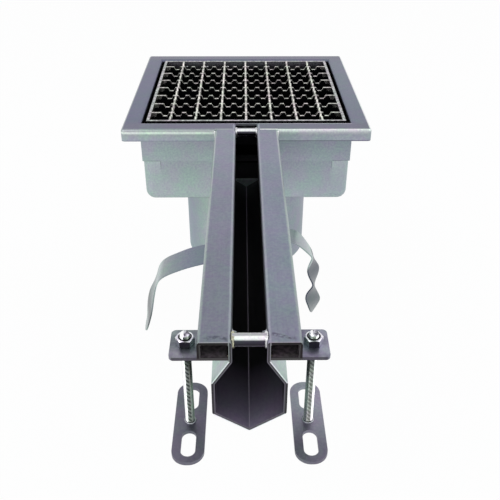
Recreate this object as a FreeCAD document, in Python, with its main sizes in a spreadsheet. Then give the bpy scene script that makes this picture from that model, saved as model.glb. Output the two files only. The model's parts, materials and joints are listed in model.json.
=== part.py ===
import FreeCAD, Part
import math
import os
import Sketcher
from FreeCAD import Placement, Rotation, Vector

# Slot drain: a floor gully with a serrated mesh grating and a slotted channel that runs into it.
# Frame: origin at the centre of the outlet's lower end, +Z up, the channel runs toward -Y.
# All sizes are in millimetres.

SIZES = {
    # sheet steel
    "sheet_wall": 2,              # thickness of every folded or pressed sheet
    "bend_inside": 1,             # inside radius of the folds
    # square top frame
    "frame_side": 240,            # outside of the frame
    "frame_skirt": 12,            # height of the outer turned-down edge
    "frame_corner": 3.5,          # radius of the frame's outer corners, seen from above
    "border_width": 18,           # flat border round the grating
    "collar_depth": 40,           # floor level to the lower edge of the inner collar
    # pressed bowl under the collar
    "box_depth": 85,              # floor level to the underside of the bowl
    "bowl_corner": 18,            # outer radius of the bowl's upright corners
    "seat_width": 12,             # ledge that carries the grating
    # grating
    "grate_gap": 4,               # clearance between grating and frame, all round
    "grate_height": 25,           # height of all grating bars
    "rim_bar": 3,                 # thickness of the four rim bars
    "mesh_bar": 2.5,              # thickness of the inner bars
    "rim_cell": 23,               # outside of the grating to the middle of the first inner bar
    "mesh_bars": 7,               # inner bars each way
    "dip_radius": 4,              # serration: each dip is half of a six-sided hole
    "dip_shift": 6.6,             # crossing to the middle of the dip beside it
    "lap_play": 0.05,             # play of the half-lap notches, each side
    # trap pot and outlet
    "pot_diameter": 140,
    "pot_height": 110,
    "outlet_diameter": 101.6,
    "outlet_length": 85,          # below the pot
    "upstand_diameter": 100,
    "upstand_wall": 1.5,
    "upstand_height": 71,         # underside of the pot to the upstand's rim
    # bell over the upstand
    "bell_wall": 1.5,
    "bell_diameter": 120,
    "bell_height": 75,
    "bell_headroom": 15,          # upstand's rim to the bell's ceiling
    "handle_sheet": 2,
    "handle_width": 14,
    "handle_span": 56,
    "handle_lean": 8,             # how far each leg of the handle leans in
    "handle_rise": 22,
    # slotted channel
    "channel_run": 307,           # frame's front edge to the channel's free end
    "channel_width": 60,
    "channel_skirt": 12,          # height of the channel's turned-down outer edges
    "slot_width": 20,
    "neck_depth": 14.5,           # floor level to the foot of the neck
    "roof_foot": 31.5,            # floor level to the foot of the sloping roof
    "wall_foot": 56.5,            # floor level to the foot of the side walls
    "channel_depth": 71.5,        # floor level to the underside of the fold in the bottom
    "body_width": 45,
    "spacer_diameter": 8,
    "front_spacer_inset": 7,      # free end to the front spacer's axis
    "rear_spacer_inset": 3,       # frame's front edge to the rear spacer's axis
    # levelling brackets, studs, nuts and feet
    "bracket_length": 25,         # along the channel
    "bracket_reach": 34.5,        # from the neck outward
    "bracket_inset": 0.5,         # free end of the channel to the bracket's edge
    "bracket_corner": 3,
    "bracket_hole": 6.6,
    "stud_spread": 75,            # distance between the two studs
    "stud_inset": 13.5,           # free end of the channel to the studs' axes
    "stud_diameter": 6,
    "stud_sunk": 4,               # floor level to the stud's top
    "foot_drop": 76,              # floor level to the top of the foot plates
    "foot_length": 67,
    "foot_width": 20,
    "foot_plate": 2.5,
    "foot_round": 9.5,            # corner radius of the foot plates
    "foot_slot_spacing": 38,
    "foot_slot_length": 20,
    "foot_slot_width": 9,
    "nut_flats": 10,
    "nut_height": 5,
    "thread_play": 0.04,          # running clearance between stud and nut, each side
    # anchor straps
    "strap_width": 27,
    "strap_sheet": 1,
    "left_strap_back": 159.5,     # frame's front edge to the middle of the left strap
    "right_strap_back": 140,      # frame's front edge to the middle of the right strap
}

# Levels and distances that follow from the sizes above.
PLACES = {
    "bowl_foot": "sizes.outlet_length + sizes.pot_height",
    "floor_level": "sizes.outlet_length + sizes.pot_height + sizes.box_depth",
    "bend_outside": "sizes.bend_inside + sizes.sheet_wall",
    "front_edge": "0 - sizes.frame_side / 2",
    "opening": "sizes.frame_side - 2 * sizes.border_width",
    "collar_side": "sizes.frame_side - 2 * sizes.border_width + 2 * sizes.sheet_wall",
    "grate_side": "sizes.frame_side - 2 * sizes.border_width - 2 * sizes.grate_gap",
    "mesh_pitch": "(sizes.frame_side - 2 * sizes.border_width - 2 * sizes.grate_gap"
                  " - 2 * sizes.rim_cell) / (sizes.mesh_bars - 1)",
    "neck_half": "sizes.slot_width / 2 + sizes.sheet_wall",
    "roof_mitre": "sizes.sheet_wall * tan(atan((sizes.body_width / 2 - sizes.slot_width / 2"
                  " - sizes.sheet_wall) / (sizes.roof_foot - sizes.neck_depth)) / 2)",
    "wall_mitre": "sizes.sheet_wall * tan(atan(sizes.body_width / 2"
                  " / (sizes.channel_depth - sizes.wall_foot)) / 2)",
    "vee_rise": "sizes.sheet_wall / cos(atan((sizes.channel_depth - sizes.wall_foot)"
                " / (sizes.body_width / 2)))",
    "free_end": "0 - sizes.frame_side / 2 - sizes.channel_run",
    "stud_line": "0 - sizes.frame_side / 2 - sizes.channel_run + sizes.stud_inset",
    "foot_top": "sizes.outlet_length + sizes.pot_height + sizes.box_depth - sizes.foot_drop",
}

# Anchor straps: how far out from the channel's middle, how far below the floor level, and the
# turn of the strip about the upright, in degrees, at each station from the weld to the loose end.
LEFT_STRAP = [
    (22.5, 34.5, 0), (35, 38, 0), (50, 43, 0), (62, 47.3, 0), (68.5, 52.5, 0),
    (71.5, 60, 0), (74, 70, 2), (77.5, 79, 3), (79.5, 91, 1), (82, 101, -2), (84, 109, -3),
]
RIGHT_STRAP = [
    (22.5, 34.5, 0), (31, 32.5, 0), (37, 34.5, 0), (45, 43, 0), (51, 52, 1), (54.3, 64, 12),
    (55.3, 81, 12), (55.5, 95, 12), (54.8, 109, 12), (56, 119, 12),
]

CLOSE = 0.001        # two coordinates nearer than this are the same

doc = FreeCAD.newDocument("slot_drain")

sizes = doc.addObject("Spreadsheet::Sheet", "sizes")
for row, (alias, value) in enumerate(SIZES.items(), start=1):
    sizes.set(f"A{row}", alias.replace("_", " "))
    sizes.set(f"B{row}", str(value))
    sizes.setAlias(f"B{row}", alias)
doc.recompute()

places = doc.addObject("Spreadsheet::Sheet", "places")
for row, (alias, formula) in enumerate(PLACES.items(), start=1):
    places.set(f"A{row}", alias.replace("_", " "))
    places.set(f"B{row}", "=" + formula)
    places.setAlias(f"B{row}", alias)
doc.recompute()

parts = []


def number(expression):
    """The value of an expression in the sheets' names, as a plain number."""
    value = sizes.evalExpression(expression)
    return float(getattr(value, "Value", value))


def new_body(label):
    body = doc.addObject("PartDesign::Body", label)
    body.Label = label
    parts.append(body)
    return body


def add_sketch(body, name, plane, offset):
    """A sketch on one of the body's own origin planes, moved along that plane's normal."""
    sketch = body.newObject("Sketcher::SketchObject", name)
    support = [item for item in body.Origin.OriginFeatures if item.Role == plane][0]
    sketch.AttachmentSupport = [(support, "")]
    sketch.MapMode = "FlatFace"
    sketch.setExpression("AttachmentOffset.Base.z", offset)
    return sketch


def tie(sketch, kind, *geometry, to):
    """A dimension that follows an expression."""
    index = sketch.addConstraint(Sketcher.Constraint(kind, *geometry, number(to)))
    sketch.setExpression(f"Constraints[{index}]", to)


def tie_point(sketch, line, end, spot):
    tie(sketch, "DistanceX", -1, 1, line, end, to=spot[0])
    tie(sketch, "DistanceY", -1, 1, line, end, to=spot[1])


def polygon(sketch, corners):
    """A closed outline of straight lines through corners given as pairs of expressions."""
    spots = [Vector(number(across), number(up), 0) for across, up in corners]
    first = sketch.GeometryCount
    for start, end in zip(spots, spots[1:] + spots[:1]):
        sketch.addGeometry(Part.LineSegment(start, end), False)
    for index, corner in enumerate(corners):
        tie_point(sketch, first + index, 1, corner)
        following = first + (index + 1) % len(corners)
        sketch.addConstraint(Sketcher.Constraint("Coincident", first + index, 2, following, 1))


def rectangle(sketch, left, front, right, back):
    polygon(sketch, [(left, front), (right, front), (right, back), (left, back)])


def square(sketch, side):
    half = f"({side}) / 2"
    rectangle(sketch, f"0 - {half}", f"0 - {half}", half, half)


def rounded_square(sketch, side, radius):
    """A square about the middle with quarter-round corners."""
    half = f"({side}) / 2"
    inner = f"(({side}) / 2 - ({radius}))"
    runs = [((inner, half), (f"0 - {inner}", half)),
            ((f"0 - {half}", inner), (f"0 - {half}", f"0 - {inner}")),
            ((f"0 - {inner}", f"0 - {half}"), (inner, f"0 - {half}")),
            ((half, f"0 - {inner}"), (half, inner))]
    for line, ends in enumerate(runs):
        spots = [Vector(number(across), number(up), 0) for across, up in ends]
        sketch.addGeometry(Part.LineSegment(*spots), False)
        tie_point(sketch, line, 1, ends[0])
        tie_point(sketch, line, 2, ends[1])
    corners = [(f"0 - {inner}", inner), (f"0 - {inner}", f"0 - {inner}"),
               (inner, f"0 - {inner}"), (inner, inner)]
    for index, (across, up) in enumerate(corners):
        quarter = math.pi / 2
        whole = Part.Circle(Vector(number(across), number(up), 0), Vector(0, 0, 1),
                            number(radius))
        turn = (index + 1) * quarter
        arc = sketch.addGeometry(Part.ArcOfCircle(whole, turn, turn + quarter), False)
        sketch.addConstraint(Sketcher.Constraint("Coincident", arc, 1, index, 2))
        sketch.addConstraint(Sketcher.Constraint("Coincident", arc, 2, (index + 1) % 4, 1))
        tie(sketch, "DistanceX", -1, 1, arc, 3, to=across)


def circle(sketch, across, up, diameter):
    centre = Vector(number(across), number(up), 0)
    shape = Part.Circle(centre, Vector(0, 0, 1), number(diameter) / 2)
    index = sketch.addGeometry(shape, False)
    tie_point(sketch, index, 3, (across, up))
    tie(sketch, "Diameter", index, to=diameter)


def slot_hole(sketch, across, up, length, width):
    """A slot with half-round ends that runs along the sketch's second axis."""
    radius = f"({width}) / 2"
    low = f"({up}) - ({length}) / 2 + {radius}"
    high = f"({up}) + ({length}) / 2 - {radius}"
    left = f"({across}) - {radius}"
    right = f"({across}) + {radius}"
    first = sketch.GeometryCount
    for x, y_start, y_end in ((left, high, low), (right, low, high)):
        start = Vector(number(x), number(y_start), 0)
        end = Vector(number(x), number(y_end), 0)
        sketch.addGeometry(Part.LineSegment(start, end), False)
    tie_point(sketch, first, 1, (left, high))
    tie_point(sketch, first, 2, (left, low))
    tie_point(sketch, first + 1, 1, (right, low))
    tie_point(sketch, first + 1, 2, (right, high))
    for level, turn, ends in ((low, math.pi, ((first, 2), (first + 1, 1))),
                              (high, 0, ((first + 1, 2), (first, 1)))):
        whole = Part.Circle(Vector(number(across), number(level), 0), Vector(0, 0, 1),
                            number(radius))
        arc = sketch.addGeometry(Part.ArcOfCircle(whole, turn, turn + math.pi), False)
        sketch.addConstraint(Sketcher.Constraint("Coincident", arc, 1, *ends[0]))
        sketch.addConstraint(Sketcher.Constraint("Coincident", arc, 2, *ends[1]))
        tie(sketch, "DistanceY", -1, 1, arc, 3, to=level)


def pad(body, sketch, name, length, down=False, both_ways=False):
    feature = body.newObject("PartDesign::Pad", name)
    feature.Profile = sketch
    feature.setExpression("Length", length)
    feature.Reversed = down
    feature.Midplane = both_ways
    doc.recompute()
    return feature


def pocket(body, sketch, name, length, both_ways=False):
    """A cut against the sketch's normal; it has to take something away."""
    before = body.Shape.Volume
    feature = body.newObject("PartDesign::Pocket", name)
    feature.Profile = sketch
    feature.setExpression("Length", length)
    feature.Midplane = both_ways
    doc.recompute()
    if not body.Shape.Volume < before:
        raise RuntimeError(f"{name} cuts nothing")
    return feature


def turn_solid(body, sketch, name):
    """A solid of revolution about the sketch's second axis."""
    feature = body.newObject("PartDesign::Revolution", name)
    feature.Profile = sketch
    feature.ReferenceAxis = (sketch, ["V_Axis"])
    feature.Angle = 360
    doc.recompute()
    return feature


def fillet(body, base, name, edges, radius):
    feature = body.newObject("PartDesign::Fillet", name)
    feature.Base = (base, edges)
    feature.setExpression("Radius", radius)
    doc.recompute()
    return feature


def repeat(body, base, name, axis, pitch, count):
    """Copies of a cut in a row along one of the body's axes."""
    feature = body.newObject("PartDesign::LinearPattern", name)
    feature.Originals = [base]
    line = [item for item in body.Origin.OriginFeatures if item.Role == axis][0]
    feature.Direction = (line, [""])
    feature.Mode = "Spacing"
    feature.setExpression("Offset", pitch)
    feature.setExpression("Occurrences", count)
    body.Tip = feature
    doc.recompute()
    return feature


def straight_edges(feature, axis, spots):
    """Names of the straight edges along an axis that pass through the given spots.

    A spot gives the other two coordinates, in the order x, y, z.
    """
    others = [index for index in range(3) if index != axis]
    names = []
    for count, edge in enumerate(feature.Shape.Edges, start=1):
        if len(edge.Vertexes) != 2:
            continue
        start, end = (vertex.Point for vertex in edge.Vertexes)
        if abs(start[axis] - end[axis]) < CLOSE:
            continue
        if any(abs(start[index] - end[index]) > CLOSE for index in others):
            continue
        place = [start[index] for index in others]
        if any(math.dist(place, spot) < CLOSE for spot in spots):
            names.append(f"Edge{count}")
    return names


def level_edges(feature, level, reach):
    """Names of the edges that lie flat at a level, within a reach from the upright axis."""
    names = []
    for count, edge in enumerate(feature.Shape.Edges, start=1):
        box = edge.BoundBox
        flat = abs(box.ZMin - level) < CLOSE and abs(box.ZMax - level) < CLOSE
        extent = max(abs(box.XMin), abs(box.XMax), abs(box.YMin), abs(box.YMax))
        if flat and abs(extent - reach) < CLOSE:
            names.append(f"Edge{count}")
    return names


def top_face(feature):
    """Name of the highest flat face."""
    heights = [face.CenterOfMass.z for face in feature.Shape.Faces]
    return f"Face{heights.index(max(heights)) + 1}"


def four_corners(half):
    return [(x * half, y * half) for x in (-1, 1) for y in (-1, 1)]


def mirrored(corners):
    """A half outline from one side to the middle, followed by its mirror image."""
    other = [(f"0 - ({across})", up) for across, up in reversed(corners)]
    return corners + other


def water_outline():
    """The clear section inside the channel, below the frame's border."""
    slot_half = "0 - sizes.slot_width / 2"
    wall = "0 - (sizes.body_width / 2 - sizes.sheet_wall)"
    half = [
        (slot_half, "places.floor_level - places.bend_outside"),
        (slot_half, "places.floor_level - sizes.neck_depth - places.roof_mitre"),
        (wall, "places.floor_level - sizes.roof_foot - places.roof_mitre"),
        (wall, "places.floor_level - sizes.wall_foot + places.wall_mitre"),
    ]
    middle = [("0", "places.floor_level - sizes.channel_depth + places.vee_rise")]
    other = [(f"0 - ({across})", up) for across, up in reversed(half)]
    return half + middle + other


def cut_water_way(body):
    """The hole in the front wall where the channel runs into the box."""
    sketch = add_sketch(body, "water_way_outline", "XZ_Plane", "places.collar_side / 2")
    polygon(sketch, water_outline())
    pocket(body, sketch, "water_way", "sizes.sheet_wall")


def make_top_frame():
    body = new_body("top_frame")
    top = number("places.floor_level")
    half = number("sizes.frame_side / 2")

    outline = add_sketch(body, "frame_outline", "XY_Plane", "places.floor_level")
    square(outline, "sizes.frame_side")
    block = pad(body, outline, "frame_block", "sizes.frame_skirt", down=True)
    upright = straight_edges(block, 2, four_corners(half))
    rounded = fillet(body, block, "frame_corners", upright, "sizes.frame_corner")
    fillet(body, rounded, "frame_bend", level_edges(rounded, top, half), "places.bend_outside")

    inside = add_sketch(body, "frame_inside", "XY_Plane", "places.floor_level - sizes.sheet_wall")
    square(inside, "sizes.frame_side - 2 * sizes.sheet_wall")
    pocket(body, inside, "frame_hollow", "sizes.frame_skirt - sizes.sheet_wall")

    outline = add_sketch(body, "collar_outline", "XY_Plane",
                         "places.floor_level - sizes.sheet_wall")
    square(outline, "places.collar_side")
    pad(body, outline, "collar_block", "sizes.collar_depth - sizes.sheet_wall", down=True)

    opening = add_sketch(body, "opening_outline", "XY_Plane", "places.floor_level")
    square(opening, "places.opening")
    opened = pocket(body, opening, "opening_cut", "sizes.collar_depth")
    rim = level_edges(opened, top, number("places.opening / 2"))
    fillet(body, opened, "collar_bend", rim, "places.bend_outside")

    channel_half = "sizes.channel_width / 2"
    notch = add_sketch(body, "skirt_notch", "XY_Plane", "places.floor_level")
    rectangle(notch, f"0 - {channel_half}", "places.front_edge",
              channel_half, "places.front_edge + places.bend_outside")
    pocket(body, notch, "skirt_notch_cut", "sizes.frame_skirt")
    tongue = add_sketch(body, "tongue_outline", "XY_Plane", "places.floor_level")
    rectangle(tongue, f"0 - {channel_half}", "places.front_edge",
              channel_half, "places.front_edge + places.bend_outside")
    pad(body, tongue, "tongue", "sizes.sheet_wall", down=True)

    lip_half = "(sizes.slot_width / 2 + places.bend_outside)"
    slot = add_sketch(body, "border_slot", "XY_Plane", "places.floor_level")
    rectangle(slot, f"0 - {lip_half}", "places.front_edge",
              lip_half, "0 - places.opening / 2 - places.bend_outside")
    pocket(body, slot, "border_slot_cut", "sizes.sheet_wall")
    cut_water_way(body)


def make_sump_bowl():
    body = new_body("sump_bowl")
    foot = number("places.bowl_foot")
    half = number("places.collar_side / 2")

    outline = add_sketch(body, "bowl_outline", "XY_Plane", "places.bowl_foot")
    square(outline, "places.collar_side")
    block = pad(body, outline, "bowl_block", "sizes.box_depth - sizes.collar_depth")
    upright = straight_edges(block, 2, four_corners(half))
    rounded = fillet(body, block, "bowl_corners", upright, "sizes.bowl_corner")
    eased = body.newObject("PartDesign::Chamfer", "bowl_edges")
    eased.Base = (rounded, level_edges(rounded, foot, half))
    eased.setExpression("Size", "places.bend_outside")
    doc.recompute()
    shell = body.newObject("PartDesign::Thickness", "bowl_shell")
    shell.Base = (eased, [top_face(eased)])
    shell.setExpression("Value", "sizes.sheet_wall")
    shell.Reversed = True
    doc.recompute()

    rim = add_sketch(body, "rim_outline", "XY_Plane", "places.floor_level - sizes.collar_depth")
    rounded_square(rim, "places.opening", "sizes.bowl_corner - sizes.sheet_wall")
    square(rim, "places.collar_side")
    pad(body, rim, "corner_rim", "sizes.sheet_wall", down=True)

    hole = add_sketch(body, "pot_hole", "XY_Plane", "places.bowl_foot + sizes.sheet_wall")
    circle(hole, "0", "0", "sizes.pot_diameter - 2 * sizes.sheet_wall")
    pocket(body, hole, "pot_hole_cut", "sizes.sheet_wall")
    cut_water_way(body)


def make_grate_seat():
    """Ledge inside the collar, open at the front where the channel comes in."""
    body = new_body("grate_seat")
    gap = "0 - sizes.body_width / 2"
    outer = "places.opening / 2"
    inner = "(places.opening / 2 - sizes.seat_width)"
    half = [(gap, f"0 - {outer}"), (f"0 - {outer}", f"0 - {outer}"), (f"0 - {outer}", outer)]
    back = [(f"0 - {inner}", inner), (f"0 - {inner}", f"0 - {inner}"), (gap, f"0 - {inner}")]
    outline = add_sketch(body, "seat_outline", "XY_Plane",
                         "places.floor_level - sizes.grate_height")
    around = mirrored(half)
    return_way = [(f"0 - ({across})", up) for across, up in reversed(back)] + back
    polygon(outline, around + return_way)
    pad(body, outline, "seat_plate", "sizes.sheet_wall", down=True)


def add_ring(label, foot, height, outside, inside):
    """A tube or a flat ring round the middle axis."""
    body = new_body(label)
    outline = add_sketch(body, f"{label}_outline", "XY_Plane", foot)
    circle(outline, "0", "0", outside)
    circle(outline, "0", "0", inside)
    pad(body, outline, f"{label}_ring", height)


def make_trap_pot():
    """Wall and floor of the pot, the outlet tube below it and the upstand inside it."""
    add_ring("trap_pot", "sizes.outlet_length + sizes.sheet_wall",
             "sizes.pot_height - sizes.sheet_wall", "sizes.pot_diameter",
             "sizes.pot_diameter - 2 * sizes.sheet_wall")
    upstand_bore = "sizes.upstand_diameter - 2 * sizes.upstand_wall"
    add_ring("pot_floor", "sizes.outlet_length", "sizes.sheet_wall", "sizes.pot_diameter",
             upstand_bore)
    add_ring("outlet_spigot", "0", "sizes.outlet_length", "sizes.outlet_diameter",
             "sizes.outlet_diameter - 2 * sizes.sheet_wall")
    add_ring("trap_upstand", "sizes.outlet_length + sizes.sheet_wall",
             "sizes.upstand_height - sizes.sheet_wall", "sizes.upstand_diameter", upstand_bore)


def make_trap_bell():
    """The bell that lifts off the upstand, with its spider and handle."""
    rim = "(sizes.outlet_length + sizes.upstand_height)"
    ceiling = f"({rim} + sizes.bell_headroom)"
    crown = f"({ceiling} + sizes.bell_wall)"
    outer = "sizes.bell_diameter / 2"
    inner = "(sizes.bell_diameter / 2 - sizes.bell_wall)"
    bell = new_body("trap_bell")
    profile = add_sketch(bell, "bell_profile", "XZ_Plane", "0")
    polygon(profile, [("0", ceiling), (inner, ceiling), (inner, f"{crown} - sizes.bell_height"),
                      (outer, f"{crown} - sizes.bell_height"), (outer, crown), ("0", crown)])
    turn_solid(bell, profile, "bell_shell")

    spider = new_body("bell_spider")
    outline = add_sketch(spider, "spider_outline", "XY_Plane", rim)
    arm = "(sizes.upstand_diameter / 2)"
    thin = "(sizes.bell_wall / 2)"
    quarter = [(thin, f"0 - {arm}"), (thin, f"0 - {thin}"), (arm, f"0 - {thin}")]
    right = quarter + [(across, f"0 - ({up})") for across, up in reversed(quarter)]
    left = [(f"0 - ({across})", up) for across, up in reversed(right)]
    polygon(outline, right + left)
    pad(spider, outline, "spider_arms", "sizes.bell_headroom")

    handle = new_body("bell_handle")
    profile = add_sketch(handle, "handle_profile", "XZ_Plane", "0")
    foot = "sizes.handle_span / 2"
    shoulder = "(sizes.handle_span / 2 - sizes.handle_lean)"
    top = f"({crown} + sizes.handle_rise)"
    outside = [(foot, crown), (shoulder, top)]
    inside = [(f"{across} - sizes.handle_sheet", up)
              for across, up in ((shoulder, f"{top} - sizes.handle_sheet"), (foot, crown))]
    other = [(f"0 - ({across})", up) for across, up in outside[::-1] + inside[::-1]]
    polygon(profile, inside + outside + other)
    pad(handle, profile, "handle_strip", "sizes.handle_width", both_ways=True)


def make_slot_channel():
    body = new_body("slot_channel")
    top = number("places.floor_level")
    outer = "0 - sizes.channel_width / 2"
    slot = "0 - sizes.slot_width / 2"
    neck = "0 - places.neck_half"
    wall = "0 - sizes.body_width / 2"
    upper = "places.floor_level"
    inside = [
        (outer, f"{upper} - sizes.channel_skirt"),
        (outer, upper),
        (slot, upper),
        (slot, f"{upper} - sizes.neck_depth - places.roof_mitre"),
        (f"{wall} + sizes.sheet_wall", f"{upper} - sizes.roof_foot - places.roof_mitre"),
        (f"{wall} + sizes.sheet_wall", f"{upper} - sizes.wall_foot + places.wall_mitre"),
    ]
    outside = [
        (f"{outer} + sizes.sheet_wall", f"{upper} - sizes.channel_skirt"),
        (f"{outer} + sizes.sheet_wall", f"{upper} - sizes.sheet_wall"),
        (neck, f"{upper} - sizes.sheet_wall"),
        (neck, f"{upper} - sizes.neck_depth"),
        (wall, f"{upper} - sizes.roof_foot"),
        (wall, f"{upper} - sizes.wall_foot"),
    ]
    inner_keel = ("0", f"{upper} - sizes.channel_depth + places.vee_rise")
    outer_keel = ("0", f"{upper} - sizes.channel_depth")
    right_inside = [(f"0 - ({across})", up) for across, up in reversed(inside)]
    right_outside = [(f"0 - ({across})", up) for across, up in outside]
    section = add_sketch(body, "channel_section", "XZ_Plane", "places.collar_side / 2")
    polygon(section, inside + [inner_keel] + right_inside
            + right_outside + [outer_keel] + outside[::-1])
    run = pad(body, section, "channel_sheet",
              "0 - places.free_end - places.collar_side / 2")

    def spots(corners):
        found = [(number(across), number(up)) for across, up in corners]
        return found + [(-across, up) for across, up in found]

    wide = spots([inside[1], inside[2], inside[3], outside[4], outside[5], outer_keel])
    tight = spots([outside[1], outside[2], outside[3], inside[4], inside[5], inner_keel])
    outer_bends = fillet(body, run, "outer_bends", straight_edges(run, 1, wide),
                         "places.bend_outside")
    fillet(body, outer_bends, "inner_bends", straight_edges(outer_bends, 1, tight),
           "sizes.bend_inside")

    lip = "(sizes.slot_width / 2 + places.bend_outside)"
    side = "sizes.channel_width / 2"
    wall_face = "0 - places.collar_side / 2"
    trim = add_sketch(body, "flange_trim", "XY_Plane", "places.floor_level")
    rectangle(trim, f"0 - {side}", "places.front_edge", f"0 - {lip}", wall_face)
    rectangle(trim, lip, "places.front_edge", side, wall_face)
    pocket(body, trim, "flange_trim_cut", "sizes.channel_skirt")
    tuck = add_sketch(body, "lip_trim", "XY_Plane", "places.floor_level")
    rectangle(tuck, f"0 - {lip}", f"{wall_face} - sizes.bend_inside", lip, wall_face)
    pocket(body, tuck, "lip_trim_cut", "places.bend_outside")
    if abs(body.Shape.BoundBox.ZMax - top) > CLOSE:
        raise RuntimeError("the channel has to lie flush with the floor level")


def make_spacers():
    """Round bars welded across the slot."""
    for label, along in (("front_spacer", "places.free_end + sizes.front_spacer_inset"),
                         ("rear_spacer", "places.front_edge + sizes.rear_spacer_inset")):
        bar = doc.addObject("Part::Cylinder", label)
        bar.Label = label
        bar.Placement = Placement(Vector(0, 0, 0), Rotation(Vector(0, 1, 0), 90))
        bar.setExpression("Radius", "sizes.spacer_diameter / 2")
        bar.setExpression("Height", "sizes.slot_width")
        bar.setExpression("Placement.Base.x", "0 - sizes.slot_width / 2")
        bar.setExpression("Placement.Base.y", along)
        bar.setExpression("Placement.Base.z", "places.floor_level - sizes.spacer_diameter / 2")
        parts.append(bar)


def make_rim_bars():
    """Four plain flat bars, the front and back ones over the ends of the others."""
    full = "places.grate_side"
    between = "places.grate_side - 2 * sizes.rim_bar"
    edge = "(places.grate_side / 2)"
    for label, wide, deep, x, y in (
            ("grate_rim_front", full, "sizes.rim_bar", f"0 - {edge}", f"0 - {edge}"),
            ("grate_rim_back", full, "sizes.rim_bar", f"0 - {edge}", f"{edge} - sizes.rim_bar"),
            ("grate_rim_left", "sizes.rim_bar", between, f"0 - {edge}",
             f"0 - {edge} + sizes.rim_bar"),
            ("grate_rim_right", "sizes.rim_bar", between, f"{edge} - sizes.rim_bar",
             f"0 - {edge} + sizes.rim_bar")):
        bar = doc.addObject("Part::Box", label)
        bar.Label = label
        bar.setExpression("Length", wide)
        bar.setExpression("Width", deep)
        bar.setExpression("Height", "sizes.grate_height")
        bar.setExpression("Placement.Base.x", x)
        bar.setExpression("Placement.Base.y", y)
        bar.setExpression("Placement.Base.z", "places.floor_level - sizes.grate_height")
        parts.append(bar)


def make_mesh_bar(label, lap_from_top, shift):
    """A serrated flat bar that lies along X in its own frame; its notches take the other bars."""
    body = new_body(label)
    half = "(places.grate_side / 2 - sizes.rim_bar)"
    first = "(places.mesh_pitch * (sizes.mesh_bars - 1) / 2)"
    face = add_sketch(body, "bar_face", "XZ_Plane", "0")
    rectangle(face, f"0 - {half}", "0 - sizes.grate_height", half, "0")
    pad(body, face, "bar_blank", "sizes.mesh_bar", both_ways=True)

    dips = add_sketch(body, "dip_outline", "XZ_Plane", "0")
    for side in ("+", "-"):
        middle = f"0 - {first} {side} sizes.dip_shift"
        polygon(dips, [(f"{middle} - sizes.dip_radius * cos({60 * turn})",
                        f"0 - sizes.dip_radius * sin({60 * turn})") for turn in range(4)])
    dip = pocket(body, dips, "dip_cut", "2 * sizes.mesh_bar", both_ways=True)
    repeat(body, dip, "dips", "X_Axis", "places.mesh_pitch", "sizes.mesh_bars")

    middle = "0 - sizes.grate_height / 2"
    low, high = (middle, "0") if lap_from_top else ("0 - sizes.grate_height", middle)
    lap = add_sketch(body, "lap_outline", "XZ_Plane", "0")
    wide = "(sizes.mesh_bar / 2 + sizes.lap_play)"
    rectangle(lap, f"0 - {first} - {wide}", low, f"0 - {first} + {wide}", high)
    notch = pocket(body, lap, "lap_cut", "2 * sizes.mesh_bar", both_ways=True)
    repeat(body, notch, "laps", "X_Axis", "places.mesh_pitch", "sizes.mesh_bars")

    body.setExpression("Placement.Base.z", "places.floor_level")
    if lap_from_top:
        body.setExpression("Placement.Base.y", shift)
    else:
        body.Placement = Placement(Vector(0, 0, 0), Rotation(Vector(0, 0, 1), 90))
        body.setExpression("Placement.Base.z", "places.floor_level")
        body.setExpression("Placement.Base.x", shift)


def make_grating():
    make_rim_bars()
    for index in range(int(number("sizes.mesh_bars"))):
        shift = f"places.mesh_pitch * ({index} - (sizes.mesh_bars - 1) / 2)"
        make_mesh_bar(f"grate_bearing_bar_{index + 1}", False, shift)
        make_mesh_bar(f"grate_cross_bar_{index + 1}", True, shift)


def make_bracket(label, side):
    """A flat ear under the channel's edge, welded to the neck."""
    body = new_body(label)
    inner = "places.neck_half"
    outer = "(places.neck_half + sizes.bracket_reach)"
    near = "(places.free_end + sizes.bracket_inset)"
    far = "(places.free_end + sizes.bracket_inset + sizes.bracket_length)"
    outline = add_sketch(body, "bracket_outline", "XY_Plane",
                         "places.floor_level - sizes.channel_skirt")
    left, right = (inner, outer) if side > 0 else (f"0 - {outer}", f"0 - {inner}")
    rectangle(outline, left, near, right, far)
    circle(outline, f"{side} * sizes.stud_spread / 2", "places.stud_line", "sizes.bracket_hole")
    plate = pad(body, outline, "bracket_plate", "sizes.sheet_wall", down=True)
    tips = [(side * number(outer), number(near)), (side * number(outer), number(far))]
    fillet(body, plate, "bracket_corners", straight_edges(plate, 2, tips), "sizes.bracket_corner")


def set_on_stud(body, side):
    body.setExpression("Placement.Base.x", f"{side} * sizes.stud_spread / 2")
    body.setExpression("Placement.Base.y", "places.stud_line")


def make_stud(label, side):
    """A round bar that stands on the foot plate."""
    body = new_body(label)
    outline = add_sketch(body, "stud_outline", "XY_Plane", "places.foot_top")
    circle(outline, "0", "0", "sizes.stud_diameter")
    pad(body, outline, "stud_bar", "sizes.foot_drop - sizes.stud_sunk")
    set_on_stud(body, side)


def make_foot_plate(label, side):
    body = new_body(label)
    outline = add_sketch(body, "foot_outline", "XY_Plane", "places.foot_top")
    half_width = "sizes.foot_width / 2"
    half_length = "sizes.foot_length / 2"
    rectangle(outline, f"0 - {half_width}", f"0 - {half_length}", half_width, half_length)
    plate = pad(body, outline, "foot_blank", "sizes.foot_plate", down=True)
    corners = [(x * number(half_width), y * number(half_length))
               for x in (-1, 1) for y in (-1, 1)]
    fillet(body, plate, "foot_ends", straight_edges(plate, 2, corners), "sizes.foot_round")
    slots = add_sketch(body, "foot_slots", "XY_Plane", "places.foot_top")
    for along in ("-", "+"):
        slot_hole(slots, "0", f"0 {along} sizes.foot_slot_spacing / 2",
                  "sizes.foot_slot_length", "sizes.foot_slot_width")
    pocket(body, slots, "foot_slot_cuts", "sizes.foot_plate")
    set_on_stud(body, side)


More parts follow.
